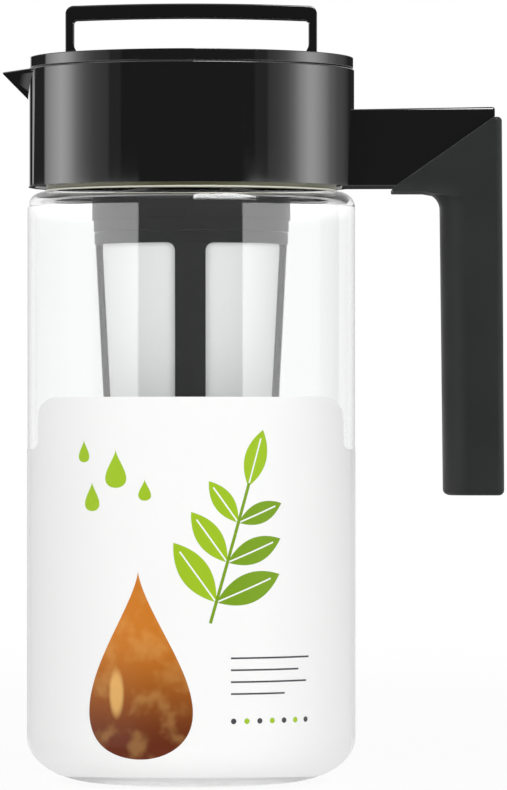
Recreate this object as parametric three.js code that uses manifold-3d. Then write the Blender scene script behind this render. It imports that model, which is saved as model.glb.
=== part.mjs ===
// Iced tea maker: a clear jug with a black collar that carries the pouring beak and the side
// handle, a press-in lid with a folding bail, and a mesh infuser that screws into the lid.
// Millimetres, +Z up. The origin is the centre of the jug's base. The beak points to -X, the
// handle to +X, and the front of the label faces -Y.
import * as THREE from 'three';
import { ConvexGeometry } from 'three/addons/geometries/ConvexGeometry.js';
import { mergeVertices } from 'three/addons/utils/BufferGeometryUtils.js';
import Module from 'manifold-3d';

const wasm = await Module();
wasm.setup();

// Fits, facets and tools
const gap = 0.3; // between pieces that rest on or in each other
const overrun = 6; // how far a cut runs past the faces that it opens
const sink = 0.5; // how far a joined form reaches into what it grows from
const weld = 0.0001; // points closer than this are one point
const roundSides = 48; // facets round the jug, its collar and its lid
const smallSides = 16; // facets round pins, bores and flow holes
const cornerSteps = 3; // facets in a rounded corner of an outline
const quarter = Math.PI / 2;

// Jug
const jugRadius = 48;
const jugSideTop = 168; // where the straight side ends and the shoulder starts
const jugWall = 2;
const jugFloor = 2.4;
const footSpread = 20; // how far the bottom corner reaches inwards
const footRise = 13; // how high the bottom corner reaches
const footSteps = 5;
const shoulderRound = 4.6;
const neckInset = 6.5; // from the jug's side to the neck's outside
const neckWall = 1.8;
const neckDrop = 10.4; // from the collar's top down to the neck's rim
const beadProud = 1.2; // how far the snap bead stands out of the neck
const beadHeight = 2.2;

// Label sleeve round the jug, with a tall tab at the front
const labelThickness = 0.3;
const labelGap = 0.1; // film of adhesive behind the label
const labelBottom = 5;
const labelBandTop = 97.2; // top edge round the sides and the back
const labelTabTop = 112.6;
const labelTabHalfWidth = 44.1;
const labelTabCorner = 6;
const labelTabRoot = 2.4; // hollow corner where the tab rises out of the band

// Seal between the jug's shoulder and the collar
const sealShow = 1.4; // height of the seal that shows below the collar
const sealWidth = 1;

// Collar
const collarInset = 0.2; // from the jug's side to the collar's side
const collarHeight = 34.4;
const collarWall = 2;
const boreWall = 3.4; // thicker wall round the lid
const collarEdge = 0.5; // broken edge at top and bottom
const sealSeat = 0.9; // from the collar's bottom up to the ledge on the seal
const ribHeight = 2.5; // ribs inside the collar that hold the neck
const ribDrop = 1; // from the neck's rim down to the upper rib

// Beak
const beakReach = 7.5; // how far the beak's tip stands out of the collar
const beakHalfWidth = 16; // at the collar
const beakTipHalfWidth = 0.5;
const beakTipDrop = 0.6; // how far the tip lies below the collar's top
const beakTipThickness = 0.5;
const beakDepth = 8.3; // from the collar's top down to the keel at the collar
const beakKeelReach = 0.4; // where the keel meets the collar, out of its side
const beakKeelHalfWidth = 0.7;
const beakWall = 1.5;

// Arm and core of the handle, moulded in one with the collar
const armReach = 88.7; // from the jug's axis to the arm's end
const armHeight = 22.4;
const armTopRise = 0.8; // the top edge climbs this much on its way out
const armRootHalfWidth = 14;
const armEndHalfWidth = 12;
const armTopHalfWidth = 10.6;
const armCorner = 1.8; // rounding of the end's top corner
const armEdge = 1; // broken edges along the arm
const coreInnerWall = 4; // grip thickness on the finger side
const coreOuterWall = 3; // grip thickness on the outer side
const coreSideWall = 3.5;
const coreFootWall = 6; // grip thickness below the core
const coreHeadDrop = 7; // from the arm's top down to the core's head

// Soft grip
const gripProud = 0.6; // how far the grip stands out of the arm's side
const gripOverhang = 2; // how far the grip's outer edge stands out beyond the arm's end
const gripToeReach = 0.7; // how much further the outer edge is at the foot
const gripTopDrop = 3; // from the arm's end top down to the grip's top
const gripTopCorner = 1.1;
const gripBottom = 83.8;
const gripTipShare = 4 / 9; // how far along the finger gap the gusset's thin end lies
const gripTipThickness = 1.1;
const gripTipDrop = 1.6; // from the arm's underside down to the gusset's underside
const gripLedge = 2.4; // from the slope's upper end out to the grip's outer edge
const gripThickness = 18; // across the column, from finger side to outer side
const gripThicknessLoss = 0.6; // how much thinner the column is at its foot
const gripInnerRound = 6;
const gripOuterRound = 2;
const gripFootRound = 1.6;
const gripThroat = 4.8; // hollow corner below the gusset
const gripWebDrop = 2.2; // how far the gusset's underside falls towards the column

// Lid top with its dish
const lidInset = 0.3; // from the collar's side to the lid's side
const lidThickness = 3.3;
const lidEdge = 0.7;
const lidClearance = 0.5; // between the lid's drum and the collar's bore
const dishWall = 1.4;
const dishDepth = 6;
const dishFloor = 1.6;
const earHalfWidth = 4; // of the blocks that carry the bail's pivots
const earDrop = 0.6; // from the lid's top down to a block's top

// Bail
const bailInset = 5.75; // from the dish's wall to the bail's side
const bailLeg = 2.5; // leg thickness, along the pivot axis
const bailDepth = 5; // front to back
const bailRise = 15.9; // from the lid's top to the bar's crown
const bailCrown = 0.7; // how much higher the bar is in its middle
const bailBar = 4.3; // bar thickness
const bailCorner = 2.4;
const bailInnerCorner = 1;
const bailEdge = 0.9; // broken edges
const bailFlare = 0.8; // how much each foot widens inwards
const bailFlareHeight = 5.6; // from the pivot axis up to where the flare starts
const bailBarSteps = 8;
const pivotDrop = 3; // from the lid's top down to the pivot axis
const pivotRadius = 1.4;
const pivotLength = 4;
const pivotClearance = 0.4;
const knuckleRadius = 2.6;

// Plug below the lid top, with the pour drum, the gasket groove and the infuser skirt
const plugClearance = 1.2; // between the plug and the neck
const plugWall = 2.6;
const plugFloor = 1.6;
const plugDepth = 14; // from the neck's rim down to the plug's underside
const drumWall = 1.6;
const drumLift = 1; // from the neck's rim up to the drum's underside
const slotWidth = 2;
const slotPitch = 4.4;
const slotCount = 9;
const slotSill = 0.5; // wall left between the drum's floor and a slot
const grooveHeight = 4;
const grooveDepth = 1.2;
const grooveLift = 2.6; // from the plug's underside up to the groove
const gasketLip = 0.9; // height of each sealing lip
const flowHoleRadius = 2.1;
const flowHoleCount = 12;
const skirtRadius = 29.1;
const skirtWall = 2.2;
const skirtLength = 23.2; // from the plug's underside down to the skirt's end
const skirtDepth = 14.2; // from the skirt's end up to its closed roof
const roofThickness = 1.6;

// Screw thread between skirt and infuser
const threadLead = 8; // travel of one full turn
const threadStarts = 2;
const threadSpan = Math.PI * 5 / 6; // each ridge's length round the neck
const threadSteps = 20;
const threadProud = 1.3;
const threadBase = 1.6;
const threadCrest = 0.9;
const threadLift = 2.7; // from the skirt's end up to the first ridge
const threadSpace = 2; // between the skirt's inside and the infuser's neck

// Infuser
const infuserNeckWall = 2;
const washerThickness = 1.4;
const washerProud = 0.5;
const flangeInset = 0.7; // from the skirt's side to the flange's side
const flangeHeight = 3.3;
const wallInset = 0.3; // from the flange's side to the cage's side
const cageLength = 121.5;
const cageBottomRadius = 21.9;
const cageWall = 2.3;
const cageFoot = 7; // closed band below the windows
const cageFloor = 2;
const cageMouth = 15; // radius of the opening in the cage's floor
const cageSeat = 2.4; // how far the base screen rests on the floor
const ribWidth = 8.8;
const ribCount = 4;
const meshThickness = 0.4;

// Sizes that follow
const shoulderTop = jugSideTop + shoulderRound;
const shoulderRadius = jugRadius - shoulderRound;
const footRadius = jugRadius - footSpread;
const neckRadius = jugRadius - neckInset;
const neckBore = neckRadius - neckWall;
const collarRadius = jugRadius - collarInset;
const collarShell = collarRadius - collarWall;
const collarBore = collarRadius - boreWall;
const collarBottom = shoulderTop + sealShow;
const collarTop = collarBottom + collarHeight;
const neckTop = collarTop - neckDrop;
const ribRadius = neckRadius + gap;
const sealLedge = collarBottom + sealSeat;
const lowerRibTop = sealLedge + ribHeight;
const upperRibTop = neckTop - ribDrop;
const lidRadius = collarRadius - lidInset;
const lidUnderside = collarTop + gap;
const lidTop = lidUnderside + lidThickness;
const drumRadius = collarBore - lidClearance;
const dishRadius = drumRadius - dishWall;
const dishBottom = lidTop - dishDepth;
const dishUnderside = dishBottom - dishFloor;
const pivotHeight = lidTop - pivotDrop;
const bailHalfWidth = dishRadius - bailInset;
const barTop = lidTop + bailRise;
const plugRadius = neckBore - plugClearance;
const plugBore = plugRadius - plugWall;
const plugBottom = neckTop - plugDepth;
const drumBottom = neckTop + drumLift;
const drumTop = dishUnderside - gap;
const grooveRadius = plugRadius - grooveDepth;
const grooveBottom = plugBottom + grooveLift;
const grooveTop = grooveBottom + grooveHeight;
const skirtBore = skirtRadius - skirtWall;
const skirtEnd = plugBottom - skirtLength;
const roofBottom = skirtEnd + skirtDepth;
const infuserNeck = skirtBore - threadSpace;
const infuserBore = infuserNeck - infuserNeckWall;
const infuserRim = roofBottom - washerThickness - 2 * gap;
const flangeRadius = skirtRadius - flangeInset;
const flangeTop = skirtEnd - gap;
const flangeBottom = flangeTop - flangeHeight;
const cageTopRadius = flangeRadius - wallInset;
const cageBottom = flangeBottom - cageLength;
const windowBottom = cageBottom + cageFoot;
const armBottom = collarBottom;
const armTop = armBottom + armHeight;
const gripTop = armTop + armTopRise - gripTopDrop;
const gripReach = armReach + gripOverhang;
const gripInside = gripReach - gripThickness;
const gripTip = collarRadius + (gripInside - collarRadius) * gripTipShare;
const gripSlopeEnd = gripReach - gripLedge;
const gripHalfWidth = armEndHalfWidth + gripProud;
const gussetBottom = armBottom - gripTipDrop;

// Solids from closed meshes
function solid(geometry) {
  const bare = geometry.index ? geometry.toNonIndexed() : geometry.clone();
  for (const name of Object.keys(bare.attributes)) {
    if (name !== 'position') bare.deleteAttribute(name);
  }
  const merged = mergeVertices(bare, weld);
  const corners = merged.index.array;
  const points = merged.attributes.position;
  const kept = [];
  let volume = 0;
  const [a, b, c] = [new THREE.Vector3(), new THREE.Vector3(), new THREE.Vector3()];
  for (let i = 0; i < corners.length; i += 3) {
    const [p, q, r] = corners.slice(i, i + 3);
    if (p === q || q === r || r === p) continue;
    kept.push(p, q, r);
    a.fromBufferAttribute(points, p);
    b.fromBufferAttribute(points, q);
    c.fromBufferAttribute(points, r);
    volume += a.dot(b.cross(c));
  }
  const triVerts = new Uint32Array(volume < 0 ? kept.reverse() : kept);
  const vertProperties = new Float32Array(points.array);
  return new wasm.Manifold(new wasm.Mesh({ numProp: 3, vertProperties, triVerts }));
}

function join(first, ...rest) {
  return rest.reduce((whole, piece) => whole.add(piece), first);
}

function cut(first, ...rest) {
  return rest.reduce((whole, piece) => whole.subtract(piece), first);
}

// A profile of [radius, height] points turned about the Z axis
function turned(profile, sides = roundSides) {
  const points = profile.map(([radius, height]) => new THREE.Vector2(radius, height));
  const onAxis = profile[0][0] === 0 && profile.at(-1)[0] === 0;
  if (!onAxis) points.push(points[0].clone());
  return solid(new THREE.LatheGeometry(points, sides).rotateX(quarter));
}

function ring(inner, outer, bottom, top, sides = roundSides) {
  return turned([[inner, bottom], [outer, bottom], [outer, top], [inner, top]], sides);
}

function block(x0, x1, y0, y1, z0, z1) {
  const box = new THREE.BoxGeometry(x1 - x0, y1 - y0, z1 - z0);
  return solid(box.translate((x0 + x1) / 2, (y0 + y1) / 2, (z0 + z1) / 2));
}

// Points of an arc about a centre, from one angle to another
function arc(centreX, centreY, radiusX, radiusY, from, to, steps) {
  return Array.from({ length: steps + 1 }, (_, i) => {
    const angle = from + (to - from) * i / steps;
    return [centreX + radiusX * Math.cos(angle), centreY + radiusY * Math.sin(angle)];
  });
}

// An outline of corners [x, y, radius], with each corner rounded by its radius
function rounded(corners, steps = cornerSteps) {
  return corners.flatMap(([x, y, radius = 0], i) => {
    const here = new THREE.Vector2(x, y);
    if (!radius) return [here];
    const before = new THREE.Vector2(...corners.at(i - 1)).sub(here).normalize();
    const after = new THREE.Vector2(...corners[(i + 1) % corners.length]).sub(here).normalize();
    const half = Math.acos(THREE.MathUtils.clamp(before.dot(after), -1, 1)) / 2;
    const middle = before.clone().add(after).normalize();
    const centre = here.clone().addScaledVector(middle, radius / Math.sin(half));
    const start = here.clone().addScaledVector(before, radius / Math.tan(half)).sub(centre);
    const turn = (Math.PI - 2 * half) * Math.sign(before.cross(after)) * -1;
    return Array.from({ length: steps + 1 }, (_, k) => {
      return start.clone().rotateAround(new THREE.Vector2(), turn * k / steps).add(centre);
    });
  });
}

// An outline in X and Z carried along Y from one side to the other, with broken edges
function slab(outline, halfWidth, edge = 0) {
  const options = { depth: 2 * (halfWidth - edge), bevelEnabled: edge > 0, bevelSegments: 1 };
  Object.assign(options, { bevelThickness: edge, bevelSize: edge, bevelOffset: -edge });
  const geometry = new THREE.ExtrudeGeometry(new THREE.Shape(outline), options);
  return solid(geometry.translate(0, 0, edge - halfWidth).rotateX(quarter));
}

// A skin through rings of [x, y, z] points, closed by a flat end on the first and last ring
function loft(rings) {
  const size = rings[0].length;
  const corners = [];
  for (let i = 0; i + 1 < rings.length; i += 1) {
    for (let k = 0; k < size; k += 1) {
      const next = (k + 1) % size;
      const [p, q] = [i * size + k, i * size + next];
      corners.push(p, q, q + size, p, q + size, p + size);
    }
  }
  const last = (rings.length - 1) * size;
  for (let k = 1; k + 1 < size; k += 1) {
    corners.push(0, k + 1, k, last, last + k, last + k + 1);
  }
  const geometry = new THREE.BufferGeometry();
  geometry.setAttribute('position', new THREE.Float32BufferAttribute(rings.flat(2), 3));
  geometry.setIndex(corners);
  return solid(geometry);
}

// A round bar along X
function pinAlongX(x0, x1, z, radius, sides = smallSides) {
  const bar = new THREE.CylinderGeometry(radius, radius, x1 - x0, sides);
  return solid(bar.rotateZ(quarter).translate((x0 + x1) / 2, 0, z));
}

// A round bar along Z
function post(x, y, z0, z1, radius, sides = smallSides) {
  const bar = new THREE.CylinderGeometry(radius, radius, z1 - z0, sides);
  return solid(bar.rotateX(quarter).translate(x, y, (z0 + z1) / 2));
}

function hull(points) {
  return solid(new ConvexGeometry(points.map((point) => new THREE.Vector3(...point))));
}

function makeJug() {
  const bead = lowerRibTop + gap;
  const beadStep = beadHeight / 4;
  const outside = [
    [0, 0],
    ...arc(footRadius, footRise, footSpread, footRise, -quarter, 0, footSteps),
    ...arc(shoulderRadius, jugSideTop, shoulderRound, shoulderRound, 0, quarter, cornerSteps),
    [neckRadius, shoulderTop],
    [neckRadius, bead],
    [neckRadius + beadProud, bead + beadStep],
    [neckRadius + beadProud, bead + 2 * beadStep],
    [neckRadius, bead + beadHeight],
    [neckRadius, neckTop],
  ];
  const innerRound = shoulderRound - jugWall;
  const inside = [
    [0, jugFloor],
    ...arc(footRadius, footRise, footSpread - jugWall, footRise - jugFloor, -quarter, 0, footSteps),
    ...arc(shoulderRadius, jugSideTop, innerRound, innerRound, 0, quarter, cornerSteps),
    [neckBore, shoulderTop - jugWall],
    [neckBore, neckTop],
  ];
  return turned([...outside, ...inside.reverse()]);
}

function makeLabel() {
  const start = -Math.asin((footRise - labelBottom) / footRise);
  const skin = (offset) => [
    ...arc(footRadius, footRise, footSpread + offset, footRise + offset, start, 0, footSteps),
    [jugRadius + offset, labelTabTop],
  ];
  const outer = skin(labelGap + labelThickness);
  const inner = skin(labelGap);
  const shell = turned([...outer, ...inner.reverse()]);
  const reach = jugRadius + overrun;
  const band = block(-reach, reach, -reach, reach, -overrun, labelBandTop);
  const half = labelTabHalfWidth;
  const wide = half + labelTabRoot + overrun;
  const tab = slab(rounded([
    [-wide, labelBandTop - overrun],
    [wide, labelBandTop - overrun],
    [wide, labelBandTop],
    [half, labelBandTop, labelTabRoot],
    [half, labelTabTop, labelTabCorner],
    [-half, labelTabTop, labelTabCorner],
    [-half, labelBandTop, labelTabRoot],
    [-wide, labelBandTop],
  ]), reach);
  const front = block(-reach, reach, -reach, 0, 0, labelTabTop + overrun);
  return shell.intersect(join(band, tab.intersect(front)));
}

function makeCollarSeal() {
  const inner = neckRadius + gap;
  return ring(inner, inner + sealWidth, shoulderTop + gap, sealLedge - gap);
}

function makeBeak() {
  const root = Math.sqrt(collarRadius ** 2 - beakHalfWidth ** 2) - sink;
  const tip = -collarRadius - beakReach;
  const tipTop = collarTop - beakTipDrop;
  const keelX = -collarRadius - beakKeelReach;
  const keelZ = collarTop - beakDepth;
  const slope = (tipTop - beakTipThickness - keelZ) / (tip - keelX);
  const backX = -collarShell - sink;
  const backZ = keelZ + slope * (backX - keelX);
  const body = hull([-1, 1].flatMap((side) => [
    [tip, side * beakTipHalfWidth, tipTop],
    [tip, side * beakTipHalfWidth, tipTop - beakTipThickness],
    [backX, side * beakKeelHalfWidth, backZ],
    [-root, side * beakHalfWidth, collarTop],
    [-root, side * beakHalfWidth, collarTop - collarEdge],
  ]));
  const inset = beakWall / Math.sin(Math.atan2(beakHalfWidth, beakReach));
  const mouth = beakHalfWidth - 2 * beakWall;
  const floor = keelZ + beakWall;
  const bore = collarBore - overrun;
  const channel = hull([-1, 1].flatMap((side) => [
    [tip + inset, 0, tipTop - beakTipThickness],
    [tip + inset, 0, collarTop + overrun],
    [keelX, side * beakKeelHalfWidth, floor],
    [-bore, side * beakKeelHalfWidth, floor],
    [keelX + inset, side * mouth, collarTop - collarEdge],
    [keelX + inset, side * mouth, collarTop + overrun],
    [-bore, side * mouth, collarTop - collarEdge],
    [-bore, side * mouth, collarTop + overrun],
  ]));
  return { body, channel };
}

// The slope between the arm and the grip, as a height over the distance from the axis
function slopeHeight(x) {
  const start = [gripTip, gussetBottom + gripTipThickness];
  const end = [gripSlopeEnd, gripTop];
  return start[1] + (end[1] - start[1]) * (x - start[0]) / (end[0] - start[0]);
}

function gripEdges(z) {
  const share = (gripTop - z) / (gripTop - gripBottom);
  const outer = gripReach + gripToeReach * share;
  const inner = outer - gripThickness + gripThicknessLoss * share;
  return { inner, outer };
}

// The handle's core, or the hollow for it in the grip when it is grown by a clearance
function coreSolid(grow) {
  const foot = gripBottom + coreFootWall;
  const head = armTop - coreHeadDrop;
  const low = gripEdges(foot);
  const high = gripEdges(head);
  const inner = Math.max(low.inner, high.inner) + coreInnerWall - grow;
  const outer = Math.min(low.outer, high.outer) - coreOuterWall + grow;
  const half = gripHalfWidth - coreSideWall + grow;
  return block(inner, outer, -half, half, foot - grow, head + grow);
}

function makeArm() {
  const collarSag = collarRadius - Math.sqrt(collarRadius ** 2 - armRootHalfWidth ** 2);
  const root = collarShell + sink - collarSag;
  const section = (x, half, top) => [
    [x, -half + armEdge, armBottom],
    [x, half - armEdge, armBottom],
    [x, half, armBottom + armEdge],
    [x, armTopHalfWidth, top - armEdge],
    [x, armTopHalfWidth - armEdge, top],
    [x, -armTopHalfWidth + armEdge, top],
    [x, -armTopHalfWidth, top - armEdge],
    [x, -half, armBottom + armEdge],
  ];
  const rise = armTopRise;
  const bar = loft([
    section(root, armRootHalfWidth, armTop),
    section(armReach, armEndHalfWidth, armTop + rise),
  ]);
  const side = slab(rounded([
    [root - overrun, armBottom - overrun],
    [armReach, armBottom - overrun],
    [armReach, armTop + rise, armCorner],
    [root, armTop],
    [root - overrun, armTop],
  ]), armRootHalfWidth + overrun);
  const lift = gap * Math.hypot(1, slopeHeight(1) - slopeHeight(0));
  const far = armReach + overrun;
  const below = slab([
    new THREE.Vector2(gripTip - overrun, slopeHeight(gripTip - overrun) + lift),
    new THREE.Vector2(gripTip - overrun, armBottom - 2 * overrun),
    new THREE.Vector2(far, armBottom - 2 * overrun),
    new THREE.Vector2(far, slopeHeight(far) + lift),
  ], armRootHalfWidth + overrun);
  return join(cut(bar.intersect(side), below), coreSolid(0));
}

function makeCollar() {
  const shell = turned([
    [collarShell, collarBottom],
    [collarRadius - collarEdge, collarBottom],
    [collarRadius, collarBottom + collarEdge],
    [collarRadius, collarTop - collarEdge],
    [collarRadius - collarEdge, collarTop],
    [collarBore, collarTop],
    [collarBore, upperRibTop],
    [ribRadius, upperRibTop],
    [ribRadius, upperRibTop - ribHeight],
    [collarShell, upperRibTop - ribHeight],
    [collarShell, lowerRibTop],
    [ribRadius, lowerRibTop],
    [ribRadius, sealLedge],
    [collarShell, sealLedge],
  ]);
  const { body, channel } = makeBeak();
  return join(cut(join(shell, body), channel), makeArm());
}

function gripSection(z, inner, outer, inset) {
  const half = gripHalfWidth - inset;
  const round = Math.min(gripInnerRound, half);
  return rounded([
    [inner + inset, -half, round],
    [outer - inset, -half, gripOuterRound],
    [outer - inset, half, gripOuterRound],
    [inner + inset, half, round],
  ]).map((point) => [point.x, point.y, z]);
}

function makeGrip() {
  const throatTop = gussetBottom;
  const throat = arc(0, 0, gripThroat, gripThroat, 0, quarter, cornerSteps + 1);
  const column = [
    [gripBottom, gripFootRound, 0],
    [gripBottom + gripFootRound / 3, gripFootRound / 3, 0],
    [gripBottom + gripFootRound, 0, 0],
    ...throat.map(([x, y]) => [throatTop - gripThroat + y, 0, gripThroat - x]),
  ];
  const rings = column.map(([z, inset, flare]) => {
    const { inner, outer } = gripEdges(z);
    return gripSection(z, inner - flare, outer, inset);
  });
  const head = gripTop - 2 * gripOuterRound;
  const top = gripEdges(head);
  const web = gripEdges(gussetBottom);
  const gusset = slab(rounded([
    [gripTip, gussetBottom],
    [web.inner - gripThroat, gussetBottom],
    [web.inner + gripInnerRound, gussetBottom - gripWebDrop],
    [web.outer, gussetBottom - gripWebDrop],
    [top.outer, gripTop, gripTopCorner],
    [gripSlopeEnd, gripTop],
    [gripTip, gussetBottom + gripTipThickness],
  ]), gripHalfWidth, gripTopCorner / 2);
  return cut(join(loft(rings), gusset), coreSolid(gap));
}

function makeLidTop() {
  const body = turned([
    [0, dishUnderside],
    [drumRadius, dishUnderside],
    [drumRadius, lidUnderside],
    [lidRadius, lidUnderside],
    ...arc(lidRadius - lidEdge, lidTop - lidEdge, lidEdge, lidEdge, 0, quarter, cornerSteps),
    [dishRadius + collarEdge, lidTop],
    [dishRadius, lidTop - collarEdge],
    [dishRadius, dishBottom],
    [0, dishBottom],
  ]);
  const inner = bailHalfWidth + gap;
  const outer = dishRadius + dishWall / 2;
  const top = lidTop - earDrop;
  const ears = [-1, 1].map((side) => {
    const [x0, x1] = [side * inner, side * outer].sort((p, q) => p - q);
    const bore = [side * (inner - gap), side * dishRadius].sort((p, q) => p - q);
    return {
      block: block(x0, x1, -earHalfWidth, earHalfWidth, dishBottom - sink, top),
      bore: pinAlongX(bore[0], bore[1], pivotHeight, pivotRadius + pivotClearance),
    };
  });
  return cut(join(body, ...ears.map((ear) => ear.block)), ...ears.map((ear) => ear.bore));
}

function makeBail() {
  const half = bailHalfWidth;
  const inside = half - bailLeg;
  const foot = pivotHeight;
  const endTop = barTop - bailCrown;
  const endUnder = endTop - bailBar;
  const bow = (from, to, height, crown) => Array.from({ length: bailBarSteps - 1 }, (_, i) => {
    const share = (i + 1) / bailBarSteps;
    return [from + (to - from) * share, height + crown * 4 * share * (1 - share)];
  });
  const flareTop = pivotHeight + bailFlareHeight;
  const outline = rounded([
    [half, foot],
    [half, endTop, bailCorner],
    ...bow(half - bailCorner, bailCorner - half, endTop, bailCrown),
    [-half, endTop, bailCorner],
    [-half, foot],
    [-inside + bailFlare, foot],
    [-inside + bailFlare, flareTop - bailFlare],
    [-inside, flareTop + bailFlare],
    [-inside, endUnder, bailInnerCorner],
    ...bow(bailInnerCorner - inside, inside - bailInnerCorner, endUnder, bailCrown),
    [inside, endUnder, bailInnerCorner],
    [inside, flareTop + bailFlare],
    [inside - bailFlare, flareTop - bailFlare],
    [inside - bailFlare, foot],
  ]);
  const frame = slab(outline, bailDepth / 2, bailEdge);
  const knuckles = [-1, 1].map((side) => {
    const span = [side * (inside - bailFlare), side * half].sort((p, q) => p - q);
    return pinAlongX(span[0], span[1], pivotHeight, knuckleRadius);
  });
  const pins = [-1, 1].map((side) => {
    const span = [side * inside, side * (half + pivotLength)].sort((p, q) => p - q);
    return pinAlongX(span[0], span[1], pivotHeight, pivotRadius);
  });
  return join(frame, ...knuckles, ...pins);
}

// A pair of helical ridges that grow from a wall at one radius towards another
function threadRidges(wallRadius, crestRadius, lowest) {
  const into = Math.sign(wallRadius - crestRadius) * sink;
  const ridges = Array.from({ length: threadStarts }, (_, start) => {
    const rings = Array.from({ length: threadSteps + 1 }, (__, i) => {
      const turn = threadSpan * i / threadSteps;
      const angle = turn + start * 2 * Math.PI / threadStarts;
      const z = lowest + threadLead * turn / (2 * Math.PI);
      const at = (radius, height) => [radius * Math.cos(angle), radius * Math.sin(angle), height];
      return [
        at(wallRadius + into, z - threadBase / 2),
        at(crestRadius, z - threadCrest / 2),
        at(crestRadius, z + threadCrest / 2),
        at(wallRadius + into, z + threadBase / 2),
      ];
    });
    return loft(rings);
  });
  return join(...ridges);
}

function makePlug() {
  const body = turned([
    [0, roofBottom],
    [skirtBore, roofBottom],
    [skirtBore, skirtEnd],
    [skirtRadius, skirtEnd],
    [skirtRadius, plugBottom],
    [plugRadius, plugBottom],
    [plugRadius, grooveBottom],
    [grooveRadius, grooveBottom],
    [grooveRadius, grooveTop],
    [plugRadius, grooveTop],
    [plugRadius, drumBottom],
    [drumRadius, drumBottom],
    [drumRadius, drumTop],
    [drumRadius - drumWall, drumTop],
    [drumRadius - drumWall, drumBottom + drumWall],
    [plugBore, drumBottom + drumWall],
    [plugBore, plugBottom + plugFloor],
    [skirtBore, plugBottom + plugFloor],
    [skirtBore, roofBottom + roofThickness],
    [0, roofBottom + roofThickness],
  ]);
  const sill = drumBottom + drumWall + slotSill;
  const slots = Array.from({ length: slotCount }, (_, i) => {
    const x = (i - (slotCount - 1) / 2) * slotPitch;
    const reach = drumRadius + overrun;
    const half = slotWidth / 2;
    return [block(x - half, x + half, -reach, -plugBore, sill, drumTop + overrun),
      block(x - half, x + half, plugBore, reach, sill, drumTop + overrun)];
  }).flat();
  const middle = (skirtRadius + plugBore) / 2;
  const holes = Array.from({ length: flowHoleCount }, (_, i) => {
    const angle = (i + 1 / 2) * 2 * Math.PI / flowHoleCount;
    const [x, y] = [middle * Math.cos(angle), middle * Math.sin(angle)];
    return post(x, y, plugBottom - gap, plugBottom + plugFloor + gap, flowHoleRadius, smallSides / 2);
  });
  const thread = threadRidges(skirtBore, skirtBore - threadProud, skirtEnd + threadLift);
  return join(cut(body, ...slots, ...holes), thread);
}

function makeLidGasket() {
  const inner = grooveRadius + gap;
  const outer = neckBore - gap;
  const root = plugRadius - gap;
  const bottom = grooveBottom + gap;
  const top = grooveTop - gap;
  const waist = (bottom + top) / 2;
  return turned([
    [inner, bottom],
    [root, bottom],
    [outer, bottom + gasketLip / 2],
    [outer, bottom + gasketLip],
    [root, waist],
    [outer, top - gasketLip],
    [outer, top - gasketLip / 2],
    [root, top],
    [inner, top],
  ]);
}

function makeWasher() {
  return ring(infuserBore, infuserNeck + washerProud, infuserRim + gap, roofBottom - gap);
}

function cageRadius(z) {
  const share = (z - cageBottom) / cageLength;
  return cageBottomRadius + (cageTopRadius - cageBottomRadius) * share;
}

// The quarter between two ribs, with a margin to them, as a block to cut or keep
function windowBlock(margin, bottom, top) {
  const near = ribWidth / 2 + margin;
  const far = cageTopRadius + overrun;
  return block(near, far, near, far, bottom + margin, top - margin);
}

function makeInfuserFrame() {
  const floorTop = cageBottom + cageFloor;
  const body = turned([
    [infuserBore, infuserRim],
    [infuserNeck, infuserRim],
    [infuserNeck, flangeTop],
    [flangeRadius, flangeTop],
    [flangeRadius, flangeBottom],
    [cageTopRadius, flangeBottom],
    [cageBottomRadius, cageBottom],
    [cageMouth, cageBottom],
    [cageMouth, floorTop],
    [cageRadius(floorTop) - cageWall, floorTop],
    [cageTopRadius - cageWall, flangeBottom],
    [infuserBore, flangeTop],
  ]);
  const windows = Array.from({ length: ribCount }, (_, i) => {
    return windowBlock(0, windowBottom, flangeBottom).rotate([0, 0, 360 * i / ribCount]);
  });
  const lowest = skirtEnd + threadLift + (threadBase + threadCrest) / 2 + gap;
  const thread = threadRidges(infuserNeck, infuserNeck + threadProud, lowest);
  return join(cut(body, ...windows), thread);
}

function makeMeshPanel() {
  const skin = cageWall / 2;
  const outer = (z) => cageRadius(z) - skin + meshThickness / 2;
  const shell = turned([
    [outer(windowBottom), windowBottom],
    [outer(flangeBottom), flangeBottom],
    [outer(flangeBottom) - meshThickness, flangeBottom],
    [outer(windowBottom) - meshThickness, windowBottom],
  ]);
  return shell.intersect(windowBlock(gap, windowBottom, flangeBottom));
}

function makeBaseScreen() {
  const bottom = cageBottom + cageFloor + gap;
  return turned([[0, bottom], [cageMouth + cageSeat, bottom],
    [cageMouth + cageSeat, bottom + meshThickness], [0, bottom + meshThickness]]);
}

// Finishes
const clearPlastic = { color: 0xf2f6f6, roughness: 0.05, metalness: 0, transparent: true };
const finishes = {
  clear: new THREE.MeshStandardMaterial({ ...clearPlastic, opacity: 0.3 }),
  gloss: new THREE.MeshStandardMaterial({ color: 0x1b1b1b, roughness: 0.12, metalness: 0 }),
  soft: new THREE.MeshStandardMaterial({ color: 0x2f3130, roughness: 0.6, metalness: 0 }),
  silicone: new THREE.MeshStandardMaterial({ color: 0x8e8d76, roughness: 0.5, metalness: 0 }),
  cage: new THREE.MeshStandardMaterial({ color: 0x34353a, roughness: 0.4, metalness: 0 }),
  mesh: new THREE.MeshStandardMaterial({ color: 0xe6e6e6, roughness: 0.7, metalness: 0 }),
  label: new THREE.MeshStandardMaterial({ color: 0xf7f7f5, roughness: 0.6, metalness: 0 }),
};

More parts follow.
